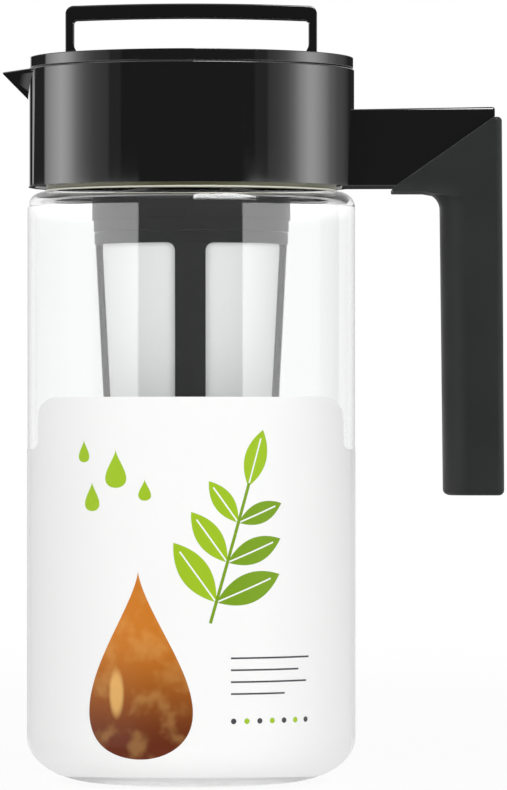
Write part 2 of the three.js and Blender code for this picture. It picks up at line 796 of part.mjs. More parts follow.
function piece(name, shape, finish) {
  const { numProp, vertProperties, triVerts } = shape.getMesh();
  const geometry = new THREE.BufferGeometry();
  geometry.setAttribute('position', new THREE.BufferAttribute(vertProperties, numProp));
  geometry.setIndex(new THREE.BufferAttribute(triVerts, 1));
  geometry.computeVertexNormals();
  const mesh = new THREE.Mesh(geometry, finishes[finish]);
  mesh.name = name;
  return mesh;
}

const jugGroup = new THREE.Group();
jugGroup.add(
  piece('jar', makeJug(), 'clear'),
  piece('label_sleeve', makeLabel(), 'label'),
  piece('collar_seal', makeCollarSeal(), 'silicone'),
  piece('collar', makeCollar(), 'gloss'),
  piece('handle_grip', makeGrip(), 'soft'),
);

const lidGroup = new THREE.Group();
lidGroup.add(
  piece('lid_top', makeLidTop(), 'gloss'),
  piece('lid_plug', makePlug(), 'cage'),
  piece('lid_gasket', makeLidGasket(), 'silicone'),
  piece('bail', makeBail(), 'gloss'),
);

const infuserGroup = new THREE.Group();
infuserGroup.add(
  piece('infuser_washer', makeWasher(), 'silicone'),
  piece('infuser_frame', makeInfuserFrame(), 'cage'),
  piece('base_screen', makeBaseScreen(), 'mesh'),
);
const panel = makeMeshPanel();
for (let i = 0; i < ribCount; i += 1) {
  const copy = piece(`mesh_panel_${i + 1}`, panel, 'mesh');
  copy.rotation.z = i * quarter;
  infuserGroup.add(copy);
}

const teaMaker = new THREE.Group();
teaMaker.add(jugGroup, lidGroup, infuserGroup);

export default teaMaker;
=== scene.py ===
"""Looks of the iced tea maker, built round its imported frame.

Forms are written in millimetres in the frame's own axes: +Z up along the jug, the beak towards -X,
the handle towards +X and the label's front towards -Y. A new piece becomes metres when it is made.
"""

import math
from functools import partialmethod, reduce

import bmesh
import bpy
from mathutils import Matrix, Vector


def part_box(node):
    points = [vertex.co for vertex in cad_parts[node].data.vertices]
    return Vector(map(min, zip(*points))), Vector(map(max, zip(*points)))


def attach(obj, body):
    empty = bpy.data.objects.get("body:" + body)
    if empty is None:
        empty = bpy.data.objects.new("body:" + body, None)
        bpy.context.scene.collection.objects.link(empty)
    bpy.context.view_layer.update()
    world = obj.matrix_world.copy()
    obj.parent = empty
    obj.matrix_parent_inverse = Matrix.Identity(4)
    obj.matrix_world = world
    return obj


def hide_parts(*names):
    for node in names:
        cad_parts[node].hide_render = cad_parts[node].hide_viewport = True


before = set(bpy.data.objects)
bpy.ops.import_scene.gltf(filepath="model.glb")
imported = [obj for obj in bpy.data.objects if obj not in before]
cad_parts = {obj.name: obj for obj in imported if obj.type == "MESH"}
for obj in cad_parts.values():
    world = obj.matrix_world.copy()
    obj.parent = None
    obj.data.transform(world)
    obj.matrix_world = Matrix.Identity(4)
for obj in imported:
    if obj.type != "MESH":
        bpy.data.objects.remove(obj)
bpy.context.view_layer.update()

MM = 0.001
DEGREE = math.pi / 180
QUARTER = math.pi / 2
FULL = 2 * math.pi
FLAT_ANGLE = math.radians(1)
SHARP_ANGLE = math.radians(35)
ROUND_SIDES = 192
PIN_SIDES = 48
EDGE_STEPS = 4
CORNER_STEPS = 6
OVERRUN = 6
SINK = 0.5


def low(node):
    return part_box(node)[0] / MM


def high(node):
    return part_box(node)[1] / MM


# Sizes that the frame gives
JUG_RADIUS, _, NECK_TOP = high("jar")
SEAL_BOTTOM = low("collar_seal").z
SEAL_RADIUS, _, SEAL_TOP = high("collar_seal")
BEAK_TIP = low("collar").x
ARM_REACH, _, COLLAR_TOP = high("collar")
LABEL_BOTTOM = low("label_sleeve").z
LABEL_RADIUS, _, LABEL_TAB_TOP = high("label_sleeve")
GRIP_TIP, _, GRIP_BOTTOM = low("handle_grip")
_, GRIP_HALF_WIDTH, GRIP_TOP = high("handle_grip")
DISH_UNDERSIDE = low("lid_top").z
LID_RADIUS, _, LID_TOP = high("lid_top")
SKIRT_END = low("lid_plug").z
DRUM_RADIUS, _, DRUM_TOP = high("lid_plug")
_, BAIL_HALF_DEPTH, BAIL_TOP = high("bail")
CAGE_BOTTOM = low("infuser_frame").z
FLANGE_RADIUS, _, INFUSER_RIM = high("infuser_frame")

# Jug, in millimetres as all that follows
CLEARANCE = 0.3
WALL = 2
FLOOR = 2.4
FOOT_SPREAD = 20
FOOT_RISE = 13
FOOT_STEPS = 24
FOOT_CENTRE = (JUG_RADIUS - FOOT_SPREAD, FOOT_RISE)
SHOULDER_ROUND = 4.6
SHOULDER_STEPS = 16
SHOULDER_INNER_STEPS = 12
SHOULDER_TOP = SEAL_BOTTOM - CLEARANCE
NECK_RADIUS = JUG_RADIUS - 6.5
NECK_WALL = 1.8
NECK_RIM_ROUND = 0.8
NECK_RIM_STEPS = 5
BEAD_PROUD = 1.2
BEAD_HEIGHT = 2.2
# Painted light: the jug's tint is fully paler below this height at the foot
JUG_PAINTED_LIGHT_FOOT = 7
JUG_FROSTED_FOOT = (4, 6.5)

# Seal under the collar
SEAL_EDGE = 0.15
SEAL_BEAD = 0.27
SEAL_BEAD_ROUND = 0.2
SEAL_BEAD_MIDDLE = SEAL_BOTTOM + 0.02
SEAL_FOOT = SEAL_BOTTOM - 0.25
# Where the painted shade on the seal begins, as a share of the bead's half height
SEAL_LIP_SHARE = 0.6

# Label
LABEL_THICKNESS = 0.15
LABEL_FILM = 0.05
LABEL_BAND_TOP = 97.2
LABEL_SIDE_SHARE = 0.999
LABEL_FOOT_FRONT = LABEL_BOTTOM - 1
LABEL_FOOT_SIDE = LABEL_BOTTOM - 2.4
LABEL_FOOT_TURN = math.radians(65)
LABEL_FOOT_STEPS = 12
LABEL_WALL_STEPS = 6
LABEL_TURN_STEPS = 40
TAB_HALF_WIDTH = 44.1
TAB_DRAFT = 0.04
TAB_CORNER = 6
TAB_ROOT = 2.4
TAB_STEPS = 8

# Collar, beak and arm
COLLAR_BOTTOM = SHOULDER_TOP + 1.4
COLLAR_RADIUS = JUG_RADIUS - 0.2
COLLAR_SHELL = COLLAR_RADIUS - 2
COLLAR_BORE = COLLAR_RADIUS - 3.4
COLLAR_EDGE = 0.25
COLLAR_FOOT_EDGE = 0.08
COLLAR_STEPS = 5
RIB_HEIGHT = 2.5
LOWER_RIB = COLLAR_BOTTOM + 0.9
UPPER_RIB_TOP = NECK_TOP - 1
BEAK_HALF_WIDTH = 16
BEAK_DEPTH = 8.3
BEAK_KEEL_REACH = 0.4
BEAK_TIP_DROP = 0.6
BEAK_TIP_THICKNESS = 0.5
BEAK_TIP_HALF_WIDTH = 0.5
BEAK_KEEL_HALF_WIDTH = 0.7
BEAK_BEVEL = 2.4
BEAK_BEVEL_SHARE = 1.35
BEAK_WALL = 1.5
ARM_TOP = COLLAR_BOTTOM + 22.4
ARM_TOP_RISE = 0.8
ARM_ROOT_HALF_WIDTH = 14
ARM_END_HALF_WIDTH = 12
ARM_TOP_HALF_WIDTH = 10.6
ARM_ROOT_EDGE = 0.3
ARM_END_EDGE = 0.9
ARM_END_DRAW_SHARE = 0.8
ARM_SEAM = 0.05

# Grip and the core inside it
GRIP_REACH = ARM_REACH + 2
GRIP_TOE_REACH = 0.7
GRIP_THICKNESS = 18
GRIP_THICKNESS_LOSS = 0.6
GRIP_TIP_THICKNESS = 1.1
GRIP_TIP_ROUND = GRIP_TIP_THICKNESS / 3
GRIP_SLOPE_END = GRIP_REACH - 2.4
GRIP_TOP_CORNER = 1.1
GRIP_HEAD = 2.3
# The painted highlight on the grip's inner side fades over these reaches round that side and below
# the gusset
GRIP_PAINTED_LIGHT_REACH = (1, 9)
GRIP_PAINTED_LIGHT_TOP = (6, 4)
GRIP_INNER_ROUND = 8
GRIP_OUTER_ROUND = 2
GRIP_FOOT_ROUND = 1.6
GRIP_THROAT = 4.8
GRIP_THROAT_SHARE = 0.97
GRIP_STEPS = 12
GRIP_WEB_DROP = 2.2
GRIP_EDGE = 0.35
GUSSET_BOTTOM = COLLAR_BOTTOM - 1.6
CORE_INNER_WALL = 4
CORE_OUTER_WALL = 3
CORE_SIDE_WALL = 3.5
CORE_FOOT = GRIP_BOTTOM + 6
CORE_HEAD = ARM_TOP - 7

# Lid, plug and gasket
LID_UNDERSIDE = COLLAR_TOP + CLEARANCE
LID_EDGE = 0.2
DISH_RADIUS = DRUM_RADIUS - 1.4
DISH_BOTTOM = LID_TOP - 6
DISH_ROUND = 1.4
EAR_HALF_WIDTH = 4
EAR_TOP = LID_TOP - 0.6
EAR_REACH = DISH_RADIUS + 0.7
PLUG_RADIUS = NECK_RADIUS - NECK_WALL - 1.2
PLUG_BORE = PLUG_RADIUS - 2.6
PLUG_BOTTOM = NECK_TOP - 14
PLUG_FLOOR = 1.6
PLUG_EDGE = 0.4
PLUG_STEPS = 3
DRUM_BOTTOM = NECK_TOP + 1
DRUM_WALL = 1.6
SLOT_WIDTH = 2
SLOT_PITCH = 4.4
SLOT_COUNT = 9
SLOT_SILL = 0.5
GROOVE_RADIUS = PLUG_RADIUS - 1.2
GROOVE_BOTTOM = PLUG_BOTTOM + 2.6
GROOVE_TOP = GROOVE_BOTTOM + 4
GASKET_LIP = 0.9
GASKET_EDGE = 0.25
FLOW_HOLE_RADIUS = 2.1
FLOW_HOLE_COUNT = 12
SKIRT_RADIUS = 29.1
SKIRT_BORE = SKIRT_RADIUS - 2.2
SKIRT_STEP = 0.5
SKIRT_STEP_HEIGHT = 3.4
ROOF_BOTTOM = SKIRT_END + 14.2
ROOF_THICKNESS = 1.6

# Bail
BAIL_HALF_WIDTH = DISH_RADIUS - 5.6
BAIL_LEG = 2.5
BAIL_CROWN = 0.7
BAIL_BAR = 4.3
BAIL_CORNER = 2.4
BAIL_INNER_CORNER = 1
BAIL_EDGE = 0.5
BAIL_FLARE = 0.8
BAIL_FLARE_ROUND = 2.2
BAIL_FLARE_HEIGHT = 5.6
BAIL_BAR_STEPS = 32
BAIL_STEPS = 8
PIVOT_HEIGHT = LID_TOP - 3
PIVOT_RADIUS = 1.4
PIVOT_LENGTH = 4
PIVOT_CLEARANCE = 0.4
KNUCKLE_RADIUS = 2.6

# Infuser
THREAD_LEAD = 8
THREAD_STARTS = 2
THREAD_SPAN = math.radians(150)
THREAD_STEPS = 60
THREAD_PROUD = 1.3
THREAD_BASE = 1.6
THREAD_CREST = 0.9
THREAD_LIFT = 2.7
THREAD_FADE_SHARE = 0.12
INFUSER_NECK = SKIRT_BORE - 2
INFUSER_BORE = INFUSER_NECK - 2
INFUSER_EDGE = 0.4
WASHER_EDGE = 0.3
FLANGE_TOP = SKIRT_END - CLEARANCE
FLANGE_BOTTOM = FLANGE_TOP - 3.3
CAGE_TOP_RADIUS = FLANGE_RADIUS - 0.3
CAGE_BOTTOM_RADIUS = 21.9
CAGE_WALL = 2.3
CAGE_FLOOR_TOP = CAGE_BOTTOM + 2
CAGE_MOUTH = 15
WINDOW_BOTTOM = CAGE_BOTTOM + 7
WINDOW_CORNER = 2.4
WINDOW_STEPS = 8
RIB_WIDTH = 8.8
RIB_COUNT = 4
MESH_THICKNESS = 0.4
MESH_EMBED = 0.7
MESH_DEPTH = 2
MESH_COLUMNS = 24
SCREEN_SEAT = 2.4

# Slots whose pieces don't show in glossy rays, as in a retouched picture
UNMIRRORED = ("black_gloss", "grip_silicone", "cage_plastic")


# Sums
def between(start, end, share):
    """The value at that share of the way; plain numbers or fields."""
    return start + (end - start) * share


def shares(count):
    """Evenly spaced shares from 0 to 1, both included."""
    return [i / count for i in range(count + 1)]


def polar(radius, angle):
    return radius * math.cos(angle), radius * math.sin(angle)


# Outlines
def arc(centre, radius, start, end, steps):
    """Points of an arc; the radius is one number, or one along each axis."""
    wide, tall = radius if isinstance(radius, tuple) else (radius, radius)
    angles = [between(start, end, share) for share in shares(steps)]
    return [(centre[0] + wide * math.cos(a), centre[1] + tall * math.sin(a)) for a in angles]


def circle(radius, sides):
    return [polar(radius, FULL * i / sides) for i in range(sides)]


def drawn_in(radius, steps=CORNER_STEPS):
    """A rounded edge, as pairs of the way along and how far the outline is drawn in there."""
    turns = [QUARTER * share for share in shares(steps)]
    return [(radius * math.sin(turn), radius * (1 - math.cos(turn))) for turn in turns]


def rounded(corners, steps=CORNER_STEPS):
    """An outline of corners (x, y) or (x, y, radius), each rounded by its radius."""
    points = []
    for i, corner in enumerate(corners):
        here = Vector(corner[:2])
        if len(corner) == 2 or not corner[2]:
            points.append(tuple(here))
            continue
        radius = corner[2]
        before, after = [(Vector(corners[k % len(corners)][:2]) - here).normalized()
                         for k in (i - 1, i + 1)]
        half = before.angle(after) / 2
        centre = here + (before + after).normalized() * (radius / math.sin(half))
        spoke = here + before * (radius / math.tan(half)) - centre
        side = -1 if before.x * after.y - before.y * after.x > 0 else 1
        turn = (math.pi - 2 * half) * side
        for share in shares(steps):
            points.append(tuple(centre + Matrix.Rotation(turn * share, 2) @ spoke))
    return points


def inset(outline, distance):
    """The outline, counter-clockwise, moved inwards along the mitre of each corner."""
    moved = []
    for i, point in enumerate(outline):
        here = Vector(point)
        back = (here - Vector(outline[i - 1])).normalized()
        ahead = (Vector(outline[(i + 1) % len(outline)]) - here).normalized()
        normals = [Vector((-way.y, way.x)) for way in (back, ahead)]
        middle = (normals[0] + normals[1]).normalized()
        moved.append(tuple(here + middle * (distance / middle.dot(normals[0]))))
    return moved


# Meshes
def skin(rings, closed=False):
    """A skin through rings of points, closed round or with a flat face at each end. Equal
    points of a ring are one vertex, and no face is made where it would be a line."""
    mesh = bmesh.new()
    made = []
    for ring in rings:
        known = {point: mesh.verts.new(point) for point in dict.fromkeys(ring)}
        made.append([known[point] for point in ring])
    faces = [] if closed else [made[0][::-1], made[-1]]
    for lower, upper in zip(made, made[1:] + made[:1] if closed else made[1:]):
        for k in range(len(lower)):
            following = (k + 1) % len(lower)
            faces.append((lower[k], lower[following], upper[following], upper[k]))
    for corners in map(dict.fromkeys, faces):
        if len(corners) > 2:
            mesh.faces.new(list(corners))
    return mesh


def turned(profile):
    """A closed profile of (radius, height) turned about the Z axis."""
    return skin([[(x, y, height) for x, y in circle(radius, ROUND_SIDES)]
                 for radius, height in profile], closed=True)


def slab(outline, half_width, edge=0):
    """An outline in X and Z, counter-clockwise, carried along Y, with rounded edges."""
    end = [(half_width, 0)]
    if edge:
        end = [(half_width - edge + along, drawn) for along, drawn in drawn_in(edge, EDGE_STEPS)]
    stations = [(-y, drawn) for y, drawn in reversed(end)] + end
    return skin([[(x, y, z) for x, z in inset(outline, drawn)] for y, drawn in stations])


def box(x0, x1, y0, y1, z0, z1):
    """A plain box, to cut or to join with."""
    corners = [(x0, y0), (x1, y0), (x1, y1), (x0, y1)]
    return skin([[(x, y, z) for x, y in corners] for z in (z0, z1)])


def hull(points):
    """The hull of points and of their mirror images across the plane of beak and handle."""
    mesh = bmesh.new()
    made = [mesh.verts.new((x, side * y, z)) for side in (-1, 1) for x, y, z in points]
    found = bmesh.ops.convex_hull(mesh, input=made)
    inner = {item for item in found["geom_interior"] if isinstance(item, bmesh.types.BMVert)}
    bmesh.ops.delete(mesh, geom=list(inner), context="VERTS")
    bmesh.ops.dissolve_limit(mesh, angle_limit=FLAT_ANGLE, verts=mesh.verts, edges=mesh.edges)
    return mesh


def bar(start, end, radius):
    """A round bar from one point to another."""
    way = Vector(end) - Vector(start)
    turn = way.to_track_quat("Z", "Y")
    return skin([[tuple(Vector(start) + turn @ Vector((x, y, along)))
                  for x, y in circle(radius, PIN_SIDES)] for along in (0, way.length)])


def spun(mesh, quarter_turns):
    """The mesh, turned about the Z axis."""
    turn = Matrix.Rotation(QUARTER * quarter_turns, 3, "Z")
    bmesh.ops.rotate(mesh, matrix=turn, verts=mesh.verts)
    return mesh


def settled(name, mesh):
    """The working mesh as Blender's mesh data."""
    data = bpy.data.meshes.new(name)
    mesh.to_mesh(data)
    mesh.free()
    return data


def placed(name, data):
    """A new object in the scene, with that mesh, lamp or camera."""
    thing = bpy.data.objects.new(name, data)
    bpy.context.scene.collection.objects.link(thing)
    return thing


def combine(operation, first, second):
    pair = []
    for mesh in (first, second):
        bmesh.ops.recalc_face_normals(mesh, faces=mesh.faces)
        pair.append(placed("scratch", settled("scratch", mesh)))
    modifier = pair[0].modifiers.new("combine", "BOOLEAN")
    modifier.operation = operation
    modifier.solver = "EXACT"
    modifier.object = pair[1]
    graph = bpy.context.evaluated_depsgraph_get()
    made = bmesh.new()
    made.from_mesh(pair[0].evaluated_get(graph).to_mesh())
    for thing in pair:
        data = thing.data
        bpy.data.objects.remove(thing)
        bpy.data.meshes.remove(data)
    return made


def join(*meshes):
    return reduce(lambda first, second: combine("UNION", first, second), meshes)


def cut(*meshes):
    """The first mesh without the others."""
    return reduce(lambda first, second: combine("DIFFERENCE", first, second), meshes)


def gathered(meshes):
    """Separate meshes that don't touch, as one."""
    whole = bmesh.new()
    for mesh in meshes:
        data = settled("scratch", mesh)
        whole.from_mesh(data)
        bpy.data.meshes.remove(data)
    return whole


def piece(name, mesh, body, node, slot, material):
    """A finished piece: it stands for a CAD node, rides on a body and has a material."""
    bmesh.ops.transform(mesh, matrix=Matrix.Scale(MM, 4), verts=mesh.verts)
    bmesh.ops.remove_doubles(mesh, verts=mesh.verts, dist=MM * MM)
    bmesh.ops.recalc_face_normals(mesh, faces=mesh.faces)
    for face in mesh.faces:
        face.smooth = True
    for edge in mesh.edges:
        edge.smooth = edge.calc_face_angle(math.pi) < SHARP_ANGLE
    data = settled(name, mesh)
    data.materials.append(material)
    thing = placed(name, data)
    weighted = thing.modifiers.new("even shading", "WEIGHTED_NORMAL")
    weighted.mode = "FACE_AREA"
    weighted.keep_sharp = True
    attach(thing, body)
    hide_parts(node)
    thing.visible_glossy = slot not in UNMIRRORED


# Shader nodes
def feed(slot, value):
    """Links a node's input to a field or an output, or sets it to a plain value."""
    value = value.socket if isinstance(value, Field) else value
    if isinstance(value, bpy.types.NodeSocket):
        slot.id_data.links.new(value, slot)
    elif slot.type == "RGBA":
        slot.default_value = (*value, 1)
    else:
        slot.default_value = value


def new_node(tree, kind, inputs, **properties):
    """A new node with these properties, whose inputs are set or linked."""
    node = tree.nodes.new("ShaderNode" + kind)
    for name, value in properties.items():
        setattr(node, name, value)
    for slot, value in inputs.items():
        feed(node.inputs[slot], value)
    return node


class Field:
    """A number that varies over a surface: Math nodes, written as plain sums."""

    def __init__(self, socket):
        self.socket = socket
        self.tree = socket.id_data

    def math(self, operation, *others):
        inputs = dict(enumerate((self, *others)))
        return Field(new_node(self.tree, "Math", inputs, operation=operation).outputs[0])

    __add__ = partialmethod(math, "ADD")
    __sub__ = partialmethod(math, "SUBTRACT")
    __mul__ = partialmethod(math, "MULTIPLY")
    __abs__ = partialmethod(math, "ABSOLUTE")
    __lt__ = partialmethod(math, "LESS_THAN")
    __gt__ = partialmethod(math, "GREATER_THAN")

    def squared(self):
        return self * self

    def opposite(self):
        """One less the field."""
        return self * -1 + 1

    def within(self, start, end):
        """1 between two places, and 0 elsewhere."""
        return (self > start) * (self < end)

    def step(self, start, end, low_value=0, high_value=1):
        """Climbs smoothly from one value to another between two places."""
        inputs = {"Value": self, "From Min": start, "From Max": end,
                  "To Min": low_value, "To Max": high_value}
        node = new_node(self.tree, "MapRange", inputs, interpolation_type="SMOOTHSTEP")
        return Field(node.outputs["Result"])


def coordinates(tree, output="Object"):
    """The coordinates of a point on the piece, in metres, or of a direction in the world."""
    source = new_node(tree, "TexCoord", {}).outputs[output]
    parts = new_node(tree, "SeparateXYZ", {0: source})
    return [Field(parts.outputs[axis]) for axis in "XYZ"]


def noise(tree, size_mm, detail, stretch=(1, 1, 1)):
    """Noise with features of about that size, from 0 to 1."""
    source = new_node(tree, "TexCoord", {}).outputs["Object"]
    mapped = new_node(tree, "Mapping", {"Vector": source, "Scale": stretch}).outputs["Vector"]
    inputs = {"Vector": mapped, "Scale": 1 / (size_mm * MM), "Detail": detail}
    return Field(new_node(tree, "TexNoise", inputs).outputs["Fac"])


def bump(height, depth_mm):
    """A normal for a height that runs from 0 to 1 over that many millimetres."""
    inputs = {"Height": height, "Distance": depth_mm * MM}
    return new_node(height.tree, "Bump", inputs).outputs["Normal"]


def mixed(share, first, second):
    """A colour between two colours, each plain or an output."""
    node = new_node(share.tree, "Mix", {"Factor": share}, data_type="RGBA")
    for name, colour in (("A", first), ("B", second)):
        feed([s for s in node.inputs if s.name == name and s.type == "RGBA"][0], colour)
    return [s for s in node.outputs if s.type == "RGBA"][0]


def blended(tree, share, first, second):
    """A mix of the outputs of two shaders."""
    return new_node(tree, "MixShader", {"Fac": share, 1: first, 2: second}).outputs["Shader"]


def light_rays(tree):
    """Fields that are 1 for shadow, dull, transmitted and mirrored rays."""
    path = new_node(tree, "LightPath", {})
    kinds = ("Shadow", "Diffuse", "Transmission", "Glossy")
    shadow, dull, passed, glossy = [Field(path.outputs[f"Is {kind} Ray"]) for kind in kinds]
    return shadow, dull, passed, glossy * passed.opposite()


def dress(shader, **inputs):
    """Sets or links the shader's inputs of these names, written with underscores."""
    for name, value in inputs.items():
        feed(shader.inputs[name.replace("_", " ")], value)


def finished(name, tones, cloud=None, wear=None, wear_range=None, grain=None, depth=None,
             **settings):
    """A material: its tones drift, its roughness wears and it has a fine grain, where given."""
    material = bpy.data.materials.new(name)
    material.use_nodes = True
    tree = material.node_tree
    shader = tree.nodes["Principled BSDF"]
    tone = mixed(noise(tree, *cloud), *tones) if cloud else tones
    dress(shader, Base_Color=tone, **settings)
    if wear:
        dress(shader, Roughness=noise(tree, *wear).step(*wear_range))
    if grain:
        dress(shader, Normal=bump(noise(tree, *grain), depth))
    return material, tree, shader, tone


def put_on(tree, output):
    feed(tree.nodes["Material Output"].inputs["Surface"], output)


# Looks. Clouds, wear and grain are noise of (size in millimetres, detail, stretch)
PAPER = (0.93, 0.93, 0.925)
# High-gloss black moulding: a faint ripple, and haze from handling
GLOSS_LOOK = {
    "tones": (0.0045, 0.0045, 0.0048),
    "wear": (14, 4), "wear_range": (0.35, 0.75, 0.012, 0.03),
    "grain": (9, 1), "depth": 0.001,
    "IOR": 1.5,
}
# Soft-touch silicone: matt, with a very fine spark-eroded grain
GRIP_LOOK = {
    "tones": ((0.0145, 0.0161, 0.0154), (0.0177, 0.0193, 0.0186)), "cloud": (16, 3),
    "wear": (22, 2), "wear_range": (0.3, 0.7, 0.46, 0.56),
    "grain": (0.35, 2), "depth": 0.02,
    "IOR": 1.43, "Specular_IOR_Level": 0.18,
}
# Painted highlight: the paler tone of the grip's inner side
GRIP_PAINTED_LIGHT_TONE = (0.04, 0.0405, 0.04)
# Charcoal moulding of plug and cage: smooth, with faint flow lines down its length
CAGE_LOOK = {
    "tones": ((0.0042, 0.0042, 0.0045), (0.007, 0.007, 0.0073)), "cloud": (5, 2, (1, 1, 0.06)),
    "wear": (11, 2), "wear_range": (0.3, 0.7, 0.36, 0.44),
    "grain": (0.5, 2), "depth": 0.003,
    "Specular_IOR_Level": 0.15,
}
# Pale silicone with an olive cast
SEAL_LOOK = {
    "tones": ((0.80, 0.79, 0.66), (0.90, 0.89, 0.76)), "cloud": (4, 3),
    "grain": (0.4, 2), "depth": 0.01,
    "IOR": 1.41, "Roughness": 0.38,
}
# Painted shade on the seal above and below its bead, under the collar's overhang
SEAL_PAINTED_SHADE = (0.10, 0.10, 0.05)
# Pale strands of the woven mesh
MESH_LOOK = {
    "tones": ((0.92, 0.92, 0.92), (0.97, 0.97, 0.97)), "cloud": (0.12, 2),
    "Roughness": 0.5, "Specular_IOR_Level": 0.3,
}
STRAND_PITCH = 0.42
STRAND_RELIEF = 0.025
STRAND_OVER = (-0.4, 0.4)
STRAND_COVER = (-1.06, -0.66)
# Clear moulded plastic, with a faint ripple
CLEAR_LOOK = {
    "tones": (0.87, 0.875, 0.875),
    "grain": (26, 1, (1, 1, 0.3)), "depth": 0.001,
    "IOR": 1.38, "Transmission_Weight": 1,
}
# Painted light: the paler tint at the jug's foot and shoulder
CLEAR_PAINTED_LIGHT = (0.995, 0.995, 0.995)
CLEAR_HAZE = (18, 3)
CLEAR_HAZE_RANGE = (0.3, 0.7, 0.006, 0.02)
CLEAR_FROST = 0.35
CLEAR_PASSING = (0.97, 0.975, 0.975)
# Satin printed film
LABEL_LOOK = {
    "tones": (PAPER, (0.915, 0.916, 0.915)), "cloud": (30, 3),
    "grain": (0.6, 2), "depth": 0.004,
    "IOR": 1.45, "Roughness": 0.34, "Specular_IOR_Level": 0.15,
}
LABEL_TRANSLUCENCE = 0.14


# Materials
def grip_material():
    """The grip has a painted highlight: it is paler on its inner side, below the gusset, where
    light falls on its rounding.
    """
    material, tree, shader, tone = finished("grip_silicone", **GRIP_LOOK)
    x, _, z = coordinates(tree)
    # Painted highlight: the inner side below the gusset is made paler
    inner = GRIP_REACH - GRIP_THICKNESS
    painted_light = x.step((inner - GRIP_PAINTED_LIGHT_REACH[0]) * MM, (inner + GRIP_PAINTED_LIGHT_REACH[1]) * MM, 1, 0)
    painted_light = painted_light * z.step((GUSSET_BOTTOM - GRIP_PAINTED_LIGHT_TOP[0]) * MM,
                               (GUSSET_BOTTOM + GRIP_PAINTED_LIGHT_TOP[1]) * MM, 1, 0)
    dress(shader, Base_Color=mixed(painted_light, tone, GRIP_PAINTED_LIGHT_TONE))
    return material


def shoulder_seal_material():
    """The seal's silicone, with painted shade: darker and more olive above and below its bead."""
    material, tree, shader, tone = finished("shoulder_silicone", **SEAL_LOOK)
    height = abs(coordinates(tree)[2] * (1 / MM) - SEAL_BEAD_MIDDLE)
    # Painted shade: darker and more olive away from the bead
    lip = height.step(SEAL_BEAD * SEAL_LIP_SHARE, SEAL_BEAD)
    dress(shader, Base_Color=mixed(lip, tone, SEAL_PAINTED_SHADE))
    return material


def weave_material():
    """Fine woven mesh: strands over and under each other, with open gaps between them."""
    material, tree, shader, _ = finished("fine_mesh", **MESH_LOOK)
    x, y, z = coordinates(tree)
    along = x.math("ARCTAN2", y) * (CAGE_TOP_RADIUS * MM)
    turns = [way * (1 / (STRAND_PITCH * MM)) for way in (along, z)]
    waves = [(turn * FULL).math("COSINE") for turn in turns]
    halves = [(turn * (FULL / 2)).math("COSINE") for turn in turns]
    over = (halves[0] * halves[1]).step(*STRAND_OVER)
    height = (waves[0] * over).math("MAXIMUM", waves[1] * over.opposite())
    covered = waves[0].math("MAXIMUM", waves[1]).step(*STRAND_COVER)
    dress(shader, Normal=bump(height, STRAND_RELIEF), Alpha=covered)
    return material


def clear_material():
    """The jug, with painted light that makes its tint paler at foot and shoulder, and a lightly
    frosted foot.
    Light from the lamps passes it, so that what it holds is lit."""
    material, tree, shader, tone = finished("clear_plastic", **CLEAR_LOOK)
    _, _, z = coordinates(tree)
    # Painted light: a paler tint at foot and shoulder
    foot = z.step(JUG_PAINTED_LIGHT_FOOT * MM, FOOT_RISE * MM, 1, 0)
    shoulder = z.step((SHOULDER_TOP - 2 * SHOULDER_ROUND) * MM,
                      (SHOULDER_TOP - SHOULDER_ROUND) * MM)
    frosted = z.step(*[height * MM for height in JUG_FROSTED_FOOT], CLEAR_FROST, 0)
    haze = noise(tree, *CLEAR_HAZE).step(*CLEAR_HAZE_RANGE)
    dress(shader, Base_Color=mixed(foot + shoulder, tone, CLEAR_PAINTED_LIGHT), Roughness=haze + frosted)
    shadow, dull, _, _ = light_rays(tree)
    passing = new_node(tree, "BsdfTransparent", {"Color": CLEAR_PASSING}).outputs["BSDF"]
    put_on(tree, blended(tree, shadow.math("MAXIMUM", dull), shader.outputs["BSDF"], passing))
    return material


# The label's print: a sprig of leaves, a drop of tea and plain rules, in places of its own
LIME = (0.36, 0.56, 0.02)
DEEP_LIME = (0.20, 0.36, 0.015)
CHARCOAL = (0.06, 0.06, 0.065)
AMBER = (0.62, 0.20, 0.02)
BROWN = (0.13, 0.025, 0.008)
GLINT = (0.90, 0.55, 0.18)

SPRIG_ROOT = (6, 48)
SPRIG_LENGTH = 52
SPRIG_LEAN = math.radians(-16)
SPRIG_PAIR_SHARES = (0.12, 0.80)
SPRIG_TIP_SHARE = 0.78
STEM_SHARE = 0.8
STEM_WIDTH = 0.9
LEAF_LENGTH = 21
LEAF_WIDTH = 8.4
LEAF_SPREAD = math.radians(52)
LEAF_PAIRS = 3
LEAF_LOSS_SHARE = 0.15
LEAF_TIP_SHARE = 0.8
VEIN_WIDTH = 0.45
VEIN_END_SHARE = 0.7
DROP_PLACE = (-15, 36)
DROP_HALF_WIDTH = 16
DROP_HALF_HEIGHT = 27
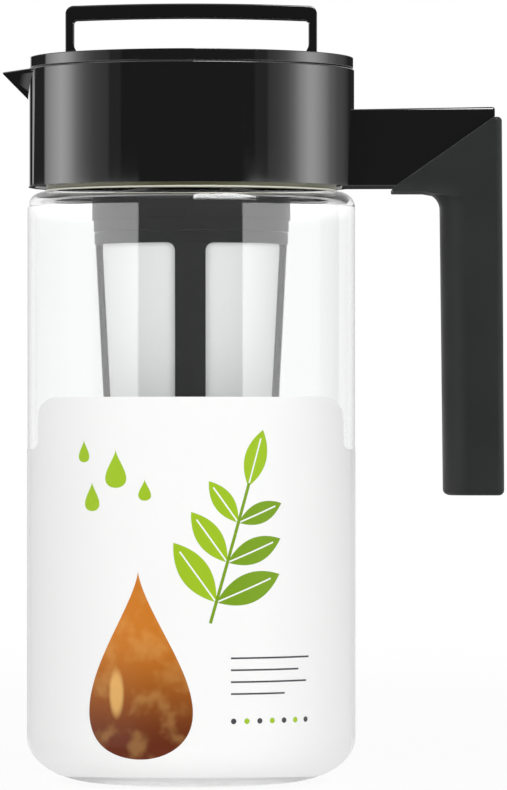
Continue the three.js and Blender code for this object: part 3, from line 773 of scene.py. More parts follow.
# Where (1 + s)(1 - s)^3 is largest, and so the drop widest, s is -1/2
DROP_PEAK = (1 - 1 / 2) * (1 + 1 / 2) ** 3
TEA_DEPTH_SHARES = (-0.9, 0.5)
SWIRL = (7, 2)
SWIRL_RANGE = (0.45, 0.7, 0, 0.2)
SPOT_PLACE_SHARES = (-0.42, -0.3)
SPOT_NARROWING = 3
SPOT_RANGE = (0.02, 0.09, 0.7, 0)
SMALL_DROPS = ((-30, 84, 2.6), (-22, 92, 3.4), (-33, 97, 2.0), (-13, 86, 1.9))
SMALL_DROP_HEIGHT_SHARE = 1.6
RULE_TOP = 38
RULE_PITCH = 3.4
RULE_THICKNESS = 0.5
RULE_START = 12
RULE_LENGTHS = (26, 22, 25, 17)
DOT_RADIUS = 0.8
DOT_PITCH = 4
DOT_ROW = 20
DOT_COUNT = 7


def turned_field(across, up, angle):
    """Coordinates turned by an angle about their own zero."""
    cosine, sine = math.cos(angle), math.sin(angle)
    return across * cosine + up * sine, up * cosine - across * sine


def on_sprig(share):
    """The place at that share of the sprig's length."""
    reach = SPRIG_LENGTH * share
    return (SPRIG_ROOT[0] - reach * math.sin(SPRIG_LEAN),
            SPRIG_ROOT[1] + reach * math.cos(SPRIG_LEAN))


def with_leaf(colour, across, up, root, angle, size, ink):
    """The print with a leaf on it: two pointed ends, and a vein left pale."""
    side, along = turned_field(across - root[0], up - root[1], angle)
    share = along * (2 / (LEAF_LENGTH * size)) - 1
    half = share.squared().opposite() * (LEAF_WIDTH * size / 2)
    blade = half - abs(side) > 0
    vein = (abs(side) < VEIN_WIDTH / 2) * share.within(-1, VEIN_END_SHARE)
    return mixed(blade, colour, mixed(vein, ink, PAPER))


def with_sprig(colour, across, up):
    for index in range(LEAF_PAIRS):
        root = on_sprig(between(*SPRIG_PAIR_SHARES, index / LEAF_PAIRS))
        size = 1 - LEAF_LOSS_SHARE * index
        for side, ink in ((-1, DEEP_LIME), (1, LIME)):
            angle = SPRIG_LEAN + side * LEAF_SPREAD
            colour = with_leaf(colour, across, up, root, angle, size, ink)
    tip = on_sprig(SPRIG_TIP_SHARE)
    colour = with_leaf(colour, across, up, tip, SPRIG_LEAN, LEAF_TIP_SHARE, LIME)
    side, along = turned_field(across - SPRIG_ROOT[0], up - SPRIG_ROOT[1], SPRIG_LEAN)
    stem = (abs(side) < STEM_WIDTH / 2) * along.within(0, SPRIG_LENGTH * STEM_SHARE)
    return mixed(stem, colour, DEEP_LIME)


def drop(across, up, place, half_width, half_height):
    """A mask of a drop that hangs from its point, and places across and up it from -1 to 1."""
    side = (across - place[0]) * (1 / half_width)
    share = (up - place[1]) * (1 / half_height)
    fall = share.opposite()
    limit = (share + 1) * fall * fall * fall * (1 / DROP_PEAK)
    return (limit - side.squared() > 0) * (abs(share) < 1), side, share


def with_drops(colour, across, up):
    """The print with a large drop of tea on it, and small ones."""
    inside, side, share = drop(across, up, DROP_PLACE, DROP_HALF_WIDTH, DROP_HALF_HEIGHT)
    tea = mixed(share.step(*TEA_DEPTH_SHARES), BROWN, AMBER)
    tea = mixed(noise(side.tree, *SWIRL).step(*SWIRL_RANGE), tea, GLINT)
    spot = (side - SPOT_PLACE_SHARES[0]).squared() * SPOT_NARROWING
    spot = spot + (share - SPOT_PLACE_SHARES[1]).squared()
    colour = mixed(inside, colour, mixed(spot.step(*SPOT_RANGE), tea, GLINT))
    for x, y, half in SMALL_DROPS:
        inside, _, _ = drop(across, up, (x, y), half, half * SMALL_DROP_HEIGHT_SHARE)
        colour = mixed(inside, colour, LIME)
    return colour


def with_rules(colour, across, up):
    """The print with plain rules on it, and a row of dots below them."""
    for index, length in enumerate(RULE_LENGTHS):
        height = RULE_TOP - index * RULE_PITCH
        middle = RULE_START + length / 2
        line = (abs(up - height) < RULE_THICKNESS / 2) * (abs(across - middle) < length / 2)
        colour = mixed(line, colour, CHARCOAL)
    for index in range(DOT_COUNT):
        centre = RULE_START + DOT_RADIUS + index * DOT_PITCH
        far = (across - centre).squared() + (up - DOT_ROW).squared()
        colour = mixed(far < DOT_RADIUS ** 2, colour, LIME if index % 2 else CHARCOAL)
    return colour


def label_material():
    """Printed on its front half, and it lets a little light through."""
    material, tree, shader, colour = finished("label_film", **LABEL_LOOK)
    x, y, z = coordinates(tree)
    around = x.math("ARCTAN2", y * -1)
    across = around * LABEL_RADIUS
    up = z * (1 / MM)
    for printed in (with_sprig, with_drops, with_rules):
        colour = printed(colour, across, up)
    colour = mixed(abs(around) < QUARTER, PAPER, colour)
    dress(shader, Base_Color=colour)
    through = new_node(tree, "BsdfTranslucent", {"Color": colour}).outputs["BSDF"]
    put_on(tree, blended(tree, LABEL_TRANSLUCENCE, shader.outputs["BSDF"], through))
    return material


# Pieces of the jug
def jug_mesh():
    shoulder = (JUG_RADIUS - SHOULDER_ROUND, SHOULDER_TOP - SHOULDER_ROUND)
    bead = LOWER_RIB + RIB_HEIGHT + CLEARANCE
    half = BEAD_HEIGHT / 2
    rim = NECK_TOP - NECK_RIM_ROUND
    outside = [
        (0, 0),
        *arc(FOOT_CENTRE, (FOOT_SPREAD, FOOT_RISE), -QUARTER, 0, FOOT_STEPS),
        *arc(shoulder, SHOULDER_ROUND, 0, QUARTER, SHOULDER_STEPS),
        (NECK_RADIUS + CLEARANCE, SHOULDER_TOP),
        (NECK_RADIUS, SHOULDER_TOP + CLEARANCE), (NECK_RADIUS, bead),
        *arc((NECK_RADIUS + BEAD_PROUD - half, bead + half), half,
             -QUARTER / 2, QUARTER / 2, CORNER_STEPS),
        (NECK_RADIUS, bead + BEAD_HEIGHT),
        *arc((NECK_RADIUS - NECK_RIM_ROUND, rim), NECK_RIM_ROUND, 0, QUARTER, NECK_RIM_STEPS),
    ]
    inner = SHOULDER_ROUND - WALL
    bore = NECK_RADIUS - NECK_WALL
    inside = [
        (0, FLOOR),
        *arc(FOOT_CENTRE, (FOOT_SPREAD - WALL, FOOT_RISE - FLOOR), -QUARTER, 0, FOOT_STEPS),
        *arc(shoulder, inner, 0, QUARTER, SHOULDER_INNER_STEPS),
        *arc((bore + inner, SHOULDER_TOP - WALL + inner), inner,
             3 * QUARTER, 2 * QUARTER, CORNER_STEPS)[1:],
        *arc((bore + NECK_RIM_ROUND, rim), NECK_RIM_ROUND, 2 * QUARTER, QUARTER, NECK_RIM_STEPS),
    ]
    return turned(outside + inside[::-1])


def label_tops():
    """The label's upper edge once round, as (angle from the front, height): band and tab."""
    outline = rounded([
        (JUG_RADIUS * LABEL_SIDE_SHARE, LABEL_BAND_TOP),
        (TAB_HALF_WIDTH + TAB_DRAFT, LABEL_BAND_TOP, TAB_ROOT),
        (TAB_HALF_WIDTH, LABEL_TAB_TOP, TAB_CORNER), (0, LABEL_TAB_TOP),
        (0, LABEL_BAND_TOP - OVERRUN),
    ], TAB_STEPS)[:-2]
    side = [(math.asin(x / JUG_RADIUS), top) for x, top in reversed(outline)]
    turns = shares(LABEL_TURN_STEPS)
    front = [(side[0][0] * turn, LABEL_TAB_TOP) for turn in turns[:-1]]
    back = [(QUARTER * (1 + turn), LABEL_BAND_TOP) for turn in turns[1:]]
    half_round = front + side + back
    return [(-angle, top) for angle, top in half_round[-2:0:-1]] + half_round


def label_column(angle, top, offset):
    """The label at one angle, as (radius, height) from its foot up."""
    dip = min(1, (1 - math.cos(angle)) / (1 - math.cos(LABEL_FOOT_TURN)))
    bottom = between(LABEL_FOOT_FRONT, LABEL_FOOT_SIDE, dip)
    start = -math.asin((FOOT_RISE - bottom) / FOOT_RISE)
    foot = arc(FOOT_CENTRE, (FOOT_SPREAD + offset, FOOT_RISE + offset), start, 0, LABEL_FOOT_STEPS)
    wall_top = LABEL_BAND_TOP - OVERRUN
    heights = [between(FOOT_RISE, wall_top, share) for share in shares(LABEL_WALL_STEPS)[1:]]
    return foot + [(JUG_RADIUS + offset, z) for z in heights + [top]]


def label_mesh():
    """A skin of columns round the jug, whose tops follow the band and the front tab."""
    rings = []
    for angle, top in label_tops():
        outer = label_column(angle, top, LABEL_FILM + LABEL_THICKNESS)
        inner = label_column(angle, top, LABEL_FILM)
        rings.append([(r * math.sin(angle), -r * math.cos(angle), z)
                      for r, z in outer + inner[::-1]])
    return skin(rings, closed=True)


def seal_mesh():
    """The seal: a rounded bead that stands out between a lower and an upper lip."""
    inner = NECK_RADIUS + CLEARANCE
    lip = SEAL_RADIUS - SEAL_BEAD
    return turned(rounded([
        (inner, SEAL_FOOT, SEAL_EDGE),
        (SEAL_RADIUS, SEAL_BEAD_MIDDLE - SEAL_BEAD, SEAL_BEAD_ROUND),
        (SEAL_RADIUS, SEAL_BEAD_MIDDLE + SEAL_BEAD, SEAL_BEAD_ROUND),
        (lip, SEAL_BEAD_MIDDLE + SEAL_BEAD, SEAL_EDGE), (lip, SEAL_TOP, SEAL_EDGE),
        (inner, SEAL_TOP, SEAL_EDGE),
    ]))


def beak_meshes():
    """The beak's body, and the channel that is cut from it."""
    root = math.sqrt(COLLAR_RADIUS ** 2 - BEAK_HALF_WIDTH ** 2) - SINK
    tip_top = COLLAR_TOP - BEAK_TIP_DROP
    tip_bottom = tip_top - BEAK_TIP_THICKNESS
    keel_x = -COLLAR_RADIUS - BEAK_KEEL_REACH
    keel_z = COLLAR_TOP - BEAK_DEPTH
    back_x = -COLLAR_SHELL - SINK
    back_z = between(keel_z, tip_bottom, (back_x - keel_x) / (BEAK_TIP - keel_x))
    bevel_half = BEAK_HALF_WIDTH * BEAK_BEVEL / BEAK_DEPTH * BEAK_BEVEL_SHARE
    brim = COLLAR_TOP - COLLAR_EDGE
    body = hull([
        *[(BEAK_TIP, BEAK_TIP_HALF_WIDTH, z) for z in (tip_top, tip_bottom)],
        (back_x, BEAK_KEEL_HALF_WIDTH, back_z),
        (back_x, bevel_half, back_z + BEAK_BEVEL),
        *[(-root, BEAK_HALF_WIDTH, z) for z in (COLLAR_TOP, brim)],
    ])
    slant = math.hypot(BEAK_HALF_WIDTH, COLLAR_RADIUS + BEAK_TIP)
    shift = BEAK_WALL * slant / BEAK_HALF_WIDTH
    mouth = BEAK_HALF_WIDTH - 2 * BEAK_WALL
    floor = keel_z + BEAK_WALL
    bore = OVERRUN - COLLAR_BORE
    over = COLLAR_TOP + OVERRUN
    channel = hull([
        *[(BEAK_TIP + shift, 0, z) for z in (tip_bottom, over)],
        *[(x, BEAK_KEEL_HALF_WIDTH, floor) for x in (keel_x, bore)],
        *[(x, mouth, z) for x in (keel_x + shift, bore) for z in (brim, over)],
    ])
    return body, channel


def slope_height(x):
    """The slope between arm and grip, as a height over the distance from the axis."""
    share = (x - GRIP_TIP) / (GRIP_SLOPE_END - GRIP_TIP)
    return between(GUSSET_BOTTOM + GRIP_TIP_THICKNESS, GRIP_TOP, share)


def grip_edges(z):
    """The grip's inner and outer side at a height, as distances from the axis."""
    share = (GRIP_TOP - z) / (GRIP_TOP - GRIP_BOTTOM)
    outer = GRIP_REACH + GRIP_TOE_REACH * share
    return outer - GRIP_THICKNESS + GRIP_THICKNESS_LOSS * share, outer


def core_mesh(grow):
    """The core inside the grip, or with a clearance the space for it."""
    sides = [grip_edges(z) for z in (CORE_FOOT, CORE_HEAD)]
    inner = max(side[0] for side in sides) + CORE_INNER_WALL - grow
    outer = min(side[1] for side in sides) - CORE_OUTER_WALL + grow
    half = GRIP_HALF_WIDTH - CORE_SIDE_WALL + grow
    return box(inner, outer, -half, half, CORE_FOOT - grow, CORE_HEAD + grow)


def arm_mesh():
    """The arm, cut off along the grip's slope, and the grip's core."""
    sag = COLLAR_RADIUS - math.sqrt(COLLAR_RADIUS ** 2 - ARM_ROOT_HALF_WIDTH ** 2)
    root = COLLAR_SHELL + SINK - sag

    def section(x, depth):
        share = (x - root) / (ARM_REACH - root)
        half = between(ARM_ROOT_HALF_WIDTH, ARM_END_HALF_WIDTH, share)
        edge = between(ARM_ROOT_EDGE, ARM_END_EDGE, share)
        top = ARM_TOP + ARM_TOP_RISE * share
        outline = rounded([
            (-half, COLLAR_BOTTOM, edge),
            (half, COLLAR_BOTTOM, edge),
            (ARM_TOP_HALF_WIDTH, top, edge),
            (-ARM_TOP_HALF_WIDTH, top, edge),
        ], COLLAR_STEPS)
        return [(x, y, z) for y, z in inset(outline, depth)]

    end = [(ARM_REACH - ARM_END_EDGE + along, drawn * ARM_END_DRAW_SHARE)
           for along, drawn in drawn_in(ARM_END_EDGE)]
    arm = skin([section(x, depth) for x, depth in [(root, 0)] + end])
    near, far = GRIP_TIP - OVERRUN, ARM_REACH + OVERRUN
    below = slab([
        (near, COLLAR_BOTTOM - 2 * OVERRUN), (far, COLLAR_BOTTOM - 2 * OVERRUN),
        (far, slope_height(far) + ARM_SEAM), (near, slope_height(near) + ARM_SEAM),
    ], ARM_ROOT_HALF_WIDTH + OVERRUN)
    return join(cut(arm, below), core_mesh(0))


def collar_mesh():
    rib = NECK_RADIUS + CLEARANCE
    edge = COLLAR_EDGE
    ring = turned(rounded([
        (COLLAR_SHELL, COLLAR_BOTTOM, COLLAR_FOOT_EDGE),
        (COLLAR_RADIUS, COLLAR_BOTTOM, COLLAR_FOOT_EDGE),
        (COLLAR_RADIUS, COLLAR_TOP, edge), (COLLAR_BORE, COLLAR_TOP, edge),
        (COLLAR_BORE, UPPER_RIB_TOP), (rib, UPPER_RIB_TOP, edge),
        (rib, UPPER_RIB_TOP - RIB_HEIGHT, edge),
        (COLLAR_SHELL, UPPER_RIB_TOP - RIB_HEIGHT),
        (COLLAR_SHELL, LOWER_RIB + RIB_HEIGHT), (rib, LOWER_RIB + RIB_HEIGHT, edge),
        (rib, LOWER_RIB, edge / 2), (COLLAR_SHELL, LOWER_RIB),
    ], COLLAR_STEPS))
    body, channel = beak_meshes()
    return join(cut(join(ring, body), channel), arm_mesh())


def level_section(z, inner, outer, half, inner_round, outer_round, depth=0):
    """A level section of the grip, with its corners rounded."""
    outline = rounded([
        (inner, -half, inner_round), (outer, -half, outer_round),
        (outer, half, outer_round), (inner, half, inner_round),
    ], GRIP_STEPS)
    return [(x, y, z) for x, y in inset(outline, depth)]


def grip_column():
    """What the hand holds: a rounded foot, and a throat that flares below the gusset."""
    foot = [(GRIP_BOTTOM + GRIP_FOOT_ROUND - along, 0, drawn)
            for along, drawn in reversed(drawn_in(GRIP_FOOT_ROUND))]
    throat = [(GUSSET_BOTTOM - GRIP_THROAT + y, GRIP_THROAT - x, 0)
              for x, y in arc((0, 0), GRIP_THROAT, 0, QUARTER * GRIP_THROAT_SHARE, GRIP_STEPS)]
    rings = []
    for z, flare, depth in foot + throat:
        inner, outer = grip_edges(z)
        rings.append(level_section(z, inner - flare, outer, GRIP_HALF_WIDTH,
                                   GRIP_INNER_ROUND, GRIP_OUTER_ROUND, depth))
    return skin(rings)


def grip_head():
    """The grip's outer side beside the gusset, with a crowned top."""
    inner = grip_edges(GRIP_TOP)[1] - GRIP_HEAD
    crown = [(GRIP_TOP - GRIP_TOP_CORNER + along, drawn)
             for along, drawn in drawn_in(GRIP_TOP_CORNER)]
    rings = []
    for z, drawn in [(GUSSET_BOTTOM - GRIP_WEB_DROP, 0)] + crown:
        half = GRIP_HALF_WIDTH - min(drawn, GRIP_EDGE)
        rings.append(level_section(z, inner, grip_edges(z)[1] - drawn, half,
                                   0, GRIP_OUTER_ROUND - drawn))
    return skin(rings)


def gusset_mesh():
    inner, outer = grip_edges(GUSSET_BOTTOM)
    web = GUSSET_BOTTOM - GRIP_WEB_DROP
    tuck = GRIP_OUTER_ROUND - GRIP_EDGE
    return slab(rounded([
        (GRIP_TIP, GUSSET_BOTTOM, GRIP_TIP_ROUND),
        (inner - GRIP_THROAT, GUSSET_BOTTOM), (inner + GRIP_INNER_ROUND, web),
        (outer - tuck, web), (grip_edges(GRIP_TOP)[1] - tuck, GRIP_TOP),
        (GRIP_SLOPE_END, GRIP_TOP),
        (GRIP_TIP, GUSSET_BOTTOM + GRIP_TIP_THICKNESS, GRIP_TIP_ROUND),
    ]), GRIP_HALF_WIDTH, GRIP_EDGE)


def grip_mesh():
    return cut(join(grip_column(), gusset_mesh(), grip_head()), core_mesh(CLEARANCE))


# Pieces of the lid
def lid_mesh():
    """The lid's top: a dish with two ears, whose blind bores take the bail's pins."""
    edge = COLLAR_EDGE
    body = turned(rounded([
        (0, DISH_UNDERSIDE), (DRUM_RADIUS, DISH_UNDERSIDE, edge),
        (DRUM_RADIUS, LID_UNDERSIDE), (LID_RADIUS, LID_UNDERSIDE, edge),
        (LID_RADIUS, LID_TOP, LID_EDGE), (DISH_RADIUS, LID_TOP, edge),
        (DISH_RADIUS, DISH_BOTTOM, DISH_ROUND), (0, DISH_BOTTOM),
    ]))
    foot = DISH_BOTTOM - SINK
    for side in (-1, 1):
        near, far = sorted((side * (BAIL_HALF_WIDTH + CLEARANCE), side * EAR_REACH))
        outline = [(near, foot), (far, foot), (far, EAR_TOP), (near, EAR_TOP)]
        body = join(body, slab(outline, EAR_HALF_WIDTH, edge / 2))
        ends = [(side * x, 0, PIVOT_HEIGHT) for x in (BAIL_HALF_WIDTH, DISH_RADIUS)]
        body = cut(body, bar(*ends, PIVOT_RADIUS + PIVOT_CLEARANCE))
    return body


def thread_mesh(wall_radius, crest_radius, lowest):
    """Helical ridges that grow from a wall, and fade out at both ends."""
    into = math.copysign(SINK, wall_radius - crest_radius)
    root = wall_radius + into
    ridges = []
    for start in range(THREAD_STARTS):
        rings = []
        for share in shares(THREAD_STEPS):
            fade = min(1, share / THREAD_FADE_SHARE, (1 - share) / THREAD_FADE_SHARE)
            crest = between(wall_radius, crest_radius, fade) + into * (1 - fade) / 2
            angle = THREAD_SPAN * share + start * FULL / THREAD_STARTS
            z = lowest + THREAD_LEAD * THREAD_SPAN * share / FULL
            section = [(root, z - THREAD_BASE / 2), (crest, z - THREAD_CREST / 2),
                       (crest, z + THREAD_CREST / 2), (root, z + THREAD_BASE / 2)]
            rings.append([(*polar(radius, angle), height) for radius, height in section])
        ridges.append(skin(rings))
    return gathered(ridges)


def plug_openings():
    """The drum's pour slots at front and back, and the flow holes in the plug's floor."""
    sill = DRUM_BOTTOM + DRUM_WALL + SLOT_SILL
    reach = DRUM_RADIUS + OVERRUN
    made = []
    for i in range(SLOT_COUNT):
        x = (i - (SLOT_COUNT - 1) / 2) * SLOT_PITCH
        for near, far in ((-reach, -PLUG_BORE), (PLUG_BORE, reach)):
            made.append(box(x - SLOT_WIDTH / 2, x + SLOT_WIDTH / 2, near, far,
                            sill, DRUM_TOP + OVERRUN))
    heights = (PLUG_BOTTOM - CLEARANCE, PLUG_BOTTOM + PLUG_FLOOR + CLEARANCE)
    for i in range(FLOW_HOLE_COUNT):
        angle = (i + 1 / 2) * FULL / FLOW_HOLE_COUNT
        ends = [(*polar((SKIRT_RADIUS + PLUG_BORE) / 2, angle), z) for z in heights]
        made.append(bar(*ends, FLOW_HOLE_RADIUS))
    return gathered(made)


def plug_mesh():
    """Skirt, plug with its gasket groove, and drum, with a roof over the infuser's thread."""
    edge = PLUG_EDGE
    body = turned(rounded([
        (0, ROOF_BOTTOM), (SKIRT_BORE, ROOF_BOTTOM, edge),
        (SKIRT_BORE, SKIRT_END, edge),
        (SKIRT_RADIUS - SKIRT_STEP, SKIRT_END, edge / 2),
        (SKIRT_RADIUS - SKIRT_STEP, SKIRT_END + SKIRT_STEP_HEIGHT),
        (SKIRT_RADIUS, SKIRT_END + SKIRT_STEP_HEIGHT, edge / 2),
        (SKIRT_RADIUS, PLUG_BOTTOM, edge), (PLUG_RADIUS, PLUG_BOTTOM, edge),
        (PLUG_RADIUS, GROOVE_BOTTOM), (GROOVE_RADIUS, GROOVE_BOTTOM),
        (GROOVE_RADIUS, GROOVE_TOP), (PLUG_RADIUS, GROOVE_TOP),
        (PLUG_RADIUS, DRUM_BOTTOM), (DRUM_RADIUS, DRUM_BOTTOM, edge),
        (DRUM_RADIUS, DRUM_TOP, edge), (DRUM_RADIUS - DRUM_WALL, DRUM_TOP, edge),
        (DRUM_RADIUS - DRUM_WALL, DRUM_BOTTOM + DRUM_WALL, edge),
        (PLUG_BORE, DRUM_BOTTOM + DRUM_WALL, edge),
        (PLUG_BORE, PLUG_BOTTOM + PLUG_FLOOR, edge),
        (SKIRT_BORE, PLUG_BOTTOM + PLUG_FLOOR, edge),
        (SKIRT_BORE, ROOF_BOTTOM + ROOF_THICKNESS, edge),
        (0, ROOF_BOTTOM + ROOF_THICKNESS),
    ], PLUG_STEPS))
    thread = thread_mesh(SKIRT_BORE, SKIRT_BORE - THREAD_PROUD, SKIRT_END + THREAD_LIFT)
    return join(cut(body, plug_openings()), thread)


def gasket_mesh():
    """A ring with two lips that press on the neck."""
    inner = GROOVE_RADIUS + CLEARANCE
    outer = NECK_RADIUS - NECK_WALL - CLEARANCE
    root = PLUG_RADIUS - CLEARANCE
    bottom, top = GROOVE_BOTTOM + CLEARANCE, GROOVE_TOP - CLEARANCE
    corners = [
        (inner, bottom), (root, bottom), (outer, bottom + GASKET_LIP / 2),
        (outer, bottom + GASKET_LIP), (root, (bottom + top) / 2),
        (outer, top - GASKET_LIP), (outer, top - GASKET_LIP / 2), (root, top),
        (inner, top),
    ]
    return turned(rounded([(*corner, GASKET_EDGE) for corner in corners], EDGE_STEPS))


def bail_mesh():
    """A crowned bar on two legs that flare to their feet, with a pin moulded on each foot."""
    half = BAIL_HALF_WIDTH
    inside = half - BAIL_LEG
    foot = inside - BAIL_FLARE
    end_top = BAIL_TOP - BAIL_CROWN
    end_under = end_top - BAIL_BAR
    flare_top = PIVOT_HEIGHT + BAIL_FLARE_HEIGHT

    def bow(reach, height):
        return [(between(reach, -reach, s), height + BAIL_CROWN * 4 * s * (1 - s))
                for s in shares(BAIL_BAR_STEPS)[1:-1]]

    leg = [
        (inside, end_under, BAIL_INNER_CORNER),
        (inside, flare_top + BAIL_FLARE, BAIL_FLARE_ROUND),
        (foot, flare_top - BAIL_FLARE, BAIL_FLARE_ROUND), (foot, PIVOT_HEIGHT),
    ]
    outline = rounded([
        (half, PIVOT_HEIGHT), (half, end_top, BAIL_CORNER),
        *bow(half - BAIL_CORNER, end_top),
        (-half, end_top, BAIL_CORNER), (-half, PIVOT_HEIGHT),
        *[(-x, *rest) for x, *rest in reversed(leg)],
        *bow(BAIL_INNER_CORNER - inside, end_under),
        *leg,
    ], BAIL_STEPS)
    mesh = slab(outline, BAIL_HALF_DEPTH, BAIL_EDGE)
    pin = (inside + SINK, half + PIVOT_LENGTH)
    for side in (-1, 1):
        for reach, radius in (((foot, half), KNUCKLE_RADIUS), (pin, PIVOT_RADIUS)):
            ends = [(side * x, 0, PIVOT_HEIGHT) for x in reach]
            mesh = join(mesh, bar(*ends, radius))
    return mesh


# Pieces of the infuser
def washer_mesh():
    bottom, top = low("infuser_washer").z, high("infuser_washer").z
    outer = high("infuser_washer").x
    corners = [(INFUSER_BORE, bottom), (outer, bottom), (outer, top), (INFUSER_BORE, top)]
    return turned(rounded([(*corner, WASHER_EDGE) for corner in corners], EDGE_STEPS))


def cage_radius(z):
    share = (z - CAGE_BOTTOM) / (FLANGE_BOTTOM - CAGE_BOTTOM)
    return between(CAGE_BOTTOM_RADIUS, CAGE_TOP_RADIUS, share)


def window_mesh(quarter_turns):
    """One window: two crossed bars with rounded corners at the ribs leave it between them."""
    near, far = RIB_WIDTH / 2, CAGE_TOP_RADIUS + OVERRUN
    outline = rounded([
        (near, WINDOW_BOTTOM, WINDOW_CORNER), (far, WINDOW_BOTTOM),
        (far, FLANGE_BOTTOM), (near, FLANGE_BOTTOM, WINDOW_CORNER),
    ], WINDOW_STEPS)
    window = combine("INTERSECT", slab(outline, far), spun(slab(outline, far), 1))
    return spun(window, quarter_turns)


def infuser_mesh():
    """The cage with its four ribs, under a flange and a neck with a thread."""
    edge = INFUSER_EDGE
    body = turned(rounded([
        (INFUSER_BORE, INFUSER_RIM, edge), (INFUSER_BORE, FLANGE_TOP),
        (CAGE_TOP_RADIUS - CAGE_WALL, FLANGE_BOTTOM),
        (cage_radius(CAGE_FLOOR_TOP) - CAGE_WALL, CAGE_FLOOR_TOP),
        (CAGE_MOUTH, CAGE_FLOOR_TOP, edge), (CAGE_MOUTH, CAGE_BOTTOM, edge),
        (CAGE_BOTTOM_RADIUS, CAGE_BOTTOM, 2 * edge),
        (CAGE_TOP_RADIUS, FLANGE_BOTTOM), (FLANGE_RADIUS, FLANGE_BOTTOM, edge / 2),
        (FLANGE_RADIUS, FLANGE_TOP, edge / 2), (INFUSER_NECK, FLANGE_TOP),
        (INFUSER_NECK, INFUSER_RIM, edge),
    ], EDGE_STEPS))
    body = cut(body, gathered([window_mesh(i) for i in range(RIB_COUNT)]))
    lowest = SKIRT_END + THREAD_LIFT + (THREAD_BASE + THREAD_CREST) / 2 + CLEARANCE
    return join(body, thread_mesh(INFUSER_NECK, INFUSER_NECK + THREAD_PROUD, lowest))


def panel_mesh(quarter_turns):
    """A woven panel, moulded into the frame a little on all sides."""
    bottom, top = WINDOW_BOTTOM - MESH_EMBED, FLANGE_BOTTOM + MESH_EMBED
    rings = []
    for z, side in ((top, -1), (bottom, -1), (bottom, 1), (top, 1)):
        radius = cage_radius(z) - MESH_DEPTH + side * MESH_THICKNESS / 2
        edge = math.asin((RIB_WIDTH / 2 - MESH_EMBED) / radius)
        angles = [between(edge, QUARTER - edge, share) + QUARTER * quarter_turns
                  for share in shares(MESH_COLUMNS)]
        rings.append([(*polar(radius, angle), z) for angle in angles])
    return skin(list(zip(*rings)))


def screen_mesh():
    bottom, top = low("base_screen").z, high("base_screen").z
    reach = CAGE_MOUTH + SCREEN_SEAT
    return turned([(0, bottom), (reach, bottom), (reach, top), (0, top)])


def build_object():
    gloss = finished("black_gloss", **GLOSS_LOOK)[0]
    cage = finished("cage_plastic", **CAGE_LOOK)[0]
    seal = finished("seal_silicone", **SEAL_LOOK)[0]
    weave = weave_material()
    piece("jug_body", jug_mesh(), "pitcher", "jar", "clear_plastic", clear_material())
    piece("jug_label", label_mesh(), "pitcher", "label_sleeve", "label_film", label_material())
    piece("shoulder_seal", seal_mesh(), "pitcher", "collar_seal", "seal_silicone",
          shoulder_seal_material())
    piece("collar_moulding", collar_mesh(), "pitcher", "collar", "black_gloss", gloss)
    piece("soft_grip", grip_mesh(), "pitcher", "handle_grip", "grip_silicone", grip_material())
    piece("lid_cover", lid_mesh(), "lid", "lid_top", "black_gloss", gloss)
    piece("pour_plug", plug_mesh(), "lid", "lid_plug", "cage_plastic", cage)
    piece("plug_gasket", gasket_mesh(), "gasket", "lid_gasket", "seal_silicone", seal)
    piece("folding_bail", bail_mesh(), "bail", "bail", "black_gloss", gloss)
    piece("rim_washer", washer_mesh(), "washer", "infuser_washer", "seal_silicone", seal)
    piece("cage_frame", infuser_mesh(), "infuser", "infuser_frame", "cage_plastic", cage)
    piece("floor_screen", screen_mesh(), "infuser", "base_screen", "fine_mesh", weave)
    for i in range(RIB_COUNT):
        piece(f"woven_panel_{i + 1}", panel_mesh(i), "infuser", f"mesh_panel_{i + 1}",
              "fine_mesh", weave)


# Studio, in metres and degrees
FLOOR_LOOK = {"tones": (0.9, 0.9, 0.9), "Roughness": 0.9, "Specular_IOR_Level": 0}
FLOOR_REACH = 400
FLOOR_SHADOW = (0.25, 1)
FLOOR_MIRRORED_REACH = 0.2
FLOOR_GLOW = 0.94
FLOOR_BOUNCE = 0.8
LAMP_PLACE = (0.8, -1.5, 0.45)
LAMP_AIM = (0, 0, 0.12)
LAMP_SIZE = (1.0, 0.8)
LEFT_ENERGY = 8
RIGHT_ENERGY = 9.2
SOFT_LEVEL = 0.46
ROOM_LEVEL = 0.11

# What gloss sees at the left and the right, by degrees away from the camera's side
LEFT_PLACES = (49, 51, 58.5, 60.5, 72, 80, 87, 94, 99, 104, 109, 112, 119, 124.5, 127.5,
               159, 164, 177, 180)
LEFT_LEVELS = (0.11, 0.29, 0.29, 0.64, 0.9, 1.45, 2.4, 4.1, 4.8, 4.9, 4, 3.5, 2.3, 1.5, 0.09,
               0.02, 1.4, 1.4, 0.02)
RIGHT_PLACES = (45, 47, 55, 57, 64, 72, 78, 84, 92, 97, 106, 116, 127, 141, 150, 180)
RIGHT_LEVELS = (0.11, 0.29, 0.28, 0.62, 0.86, 1.45, 2.5, 4.2, 5.4, 4.9, 3.05, 1.2, 0.5, 0.2,
                0.04, 0.02)
# What gloss sees low down, where the jug's side reflects
LOW_PLACES = (36, 37.4, 60, 90, 105, 120, 130, 140, 150, 160, 172, 175, 180)
LOW_LEVELS = (0.11, 9, 8.7, 6.5, 4.6, 2.9, 2.1, 1.5, 1.05, 0.85, 0.8, 0.05, 0.03)
LOW_TOP = (2.06, 2.18)
LOW_BOTTOM = -6
UNDER_SHARE = 0.5
BOX_TOP = (3.8, 5.2)
BOX_FOOT = (-50, -35)
TOP_BOX_AZIMUTH = (2.6, 57)
TOP_BOX_ELEVATION = (37, 67)
TOP_BOX_LEVEL = 24
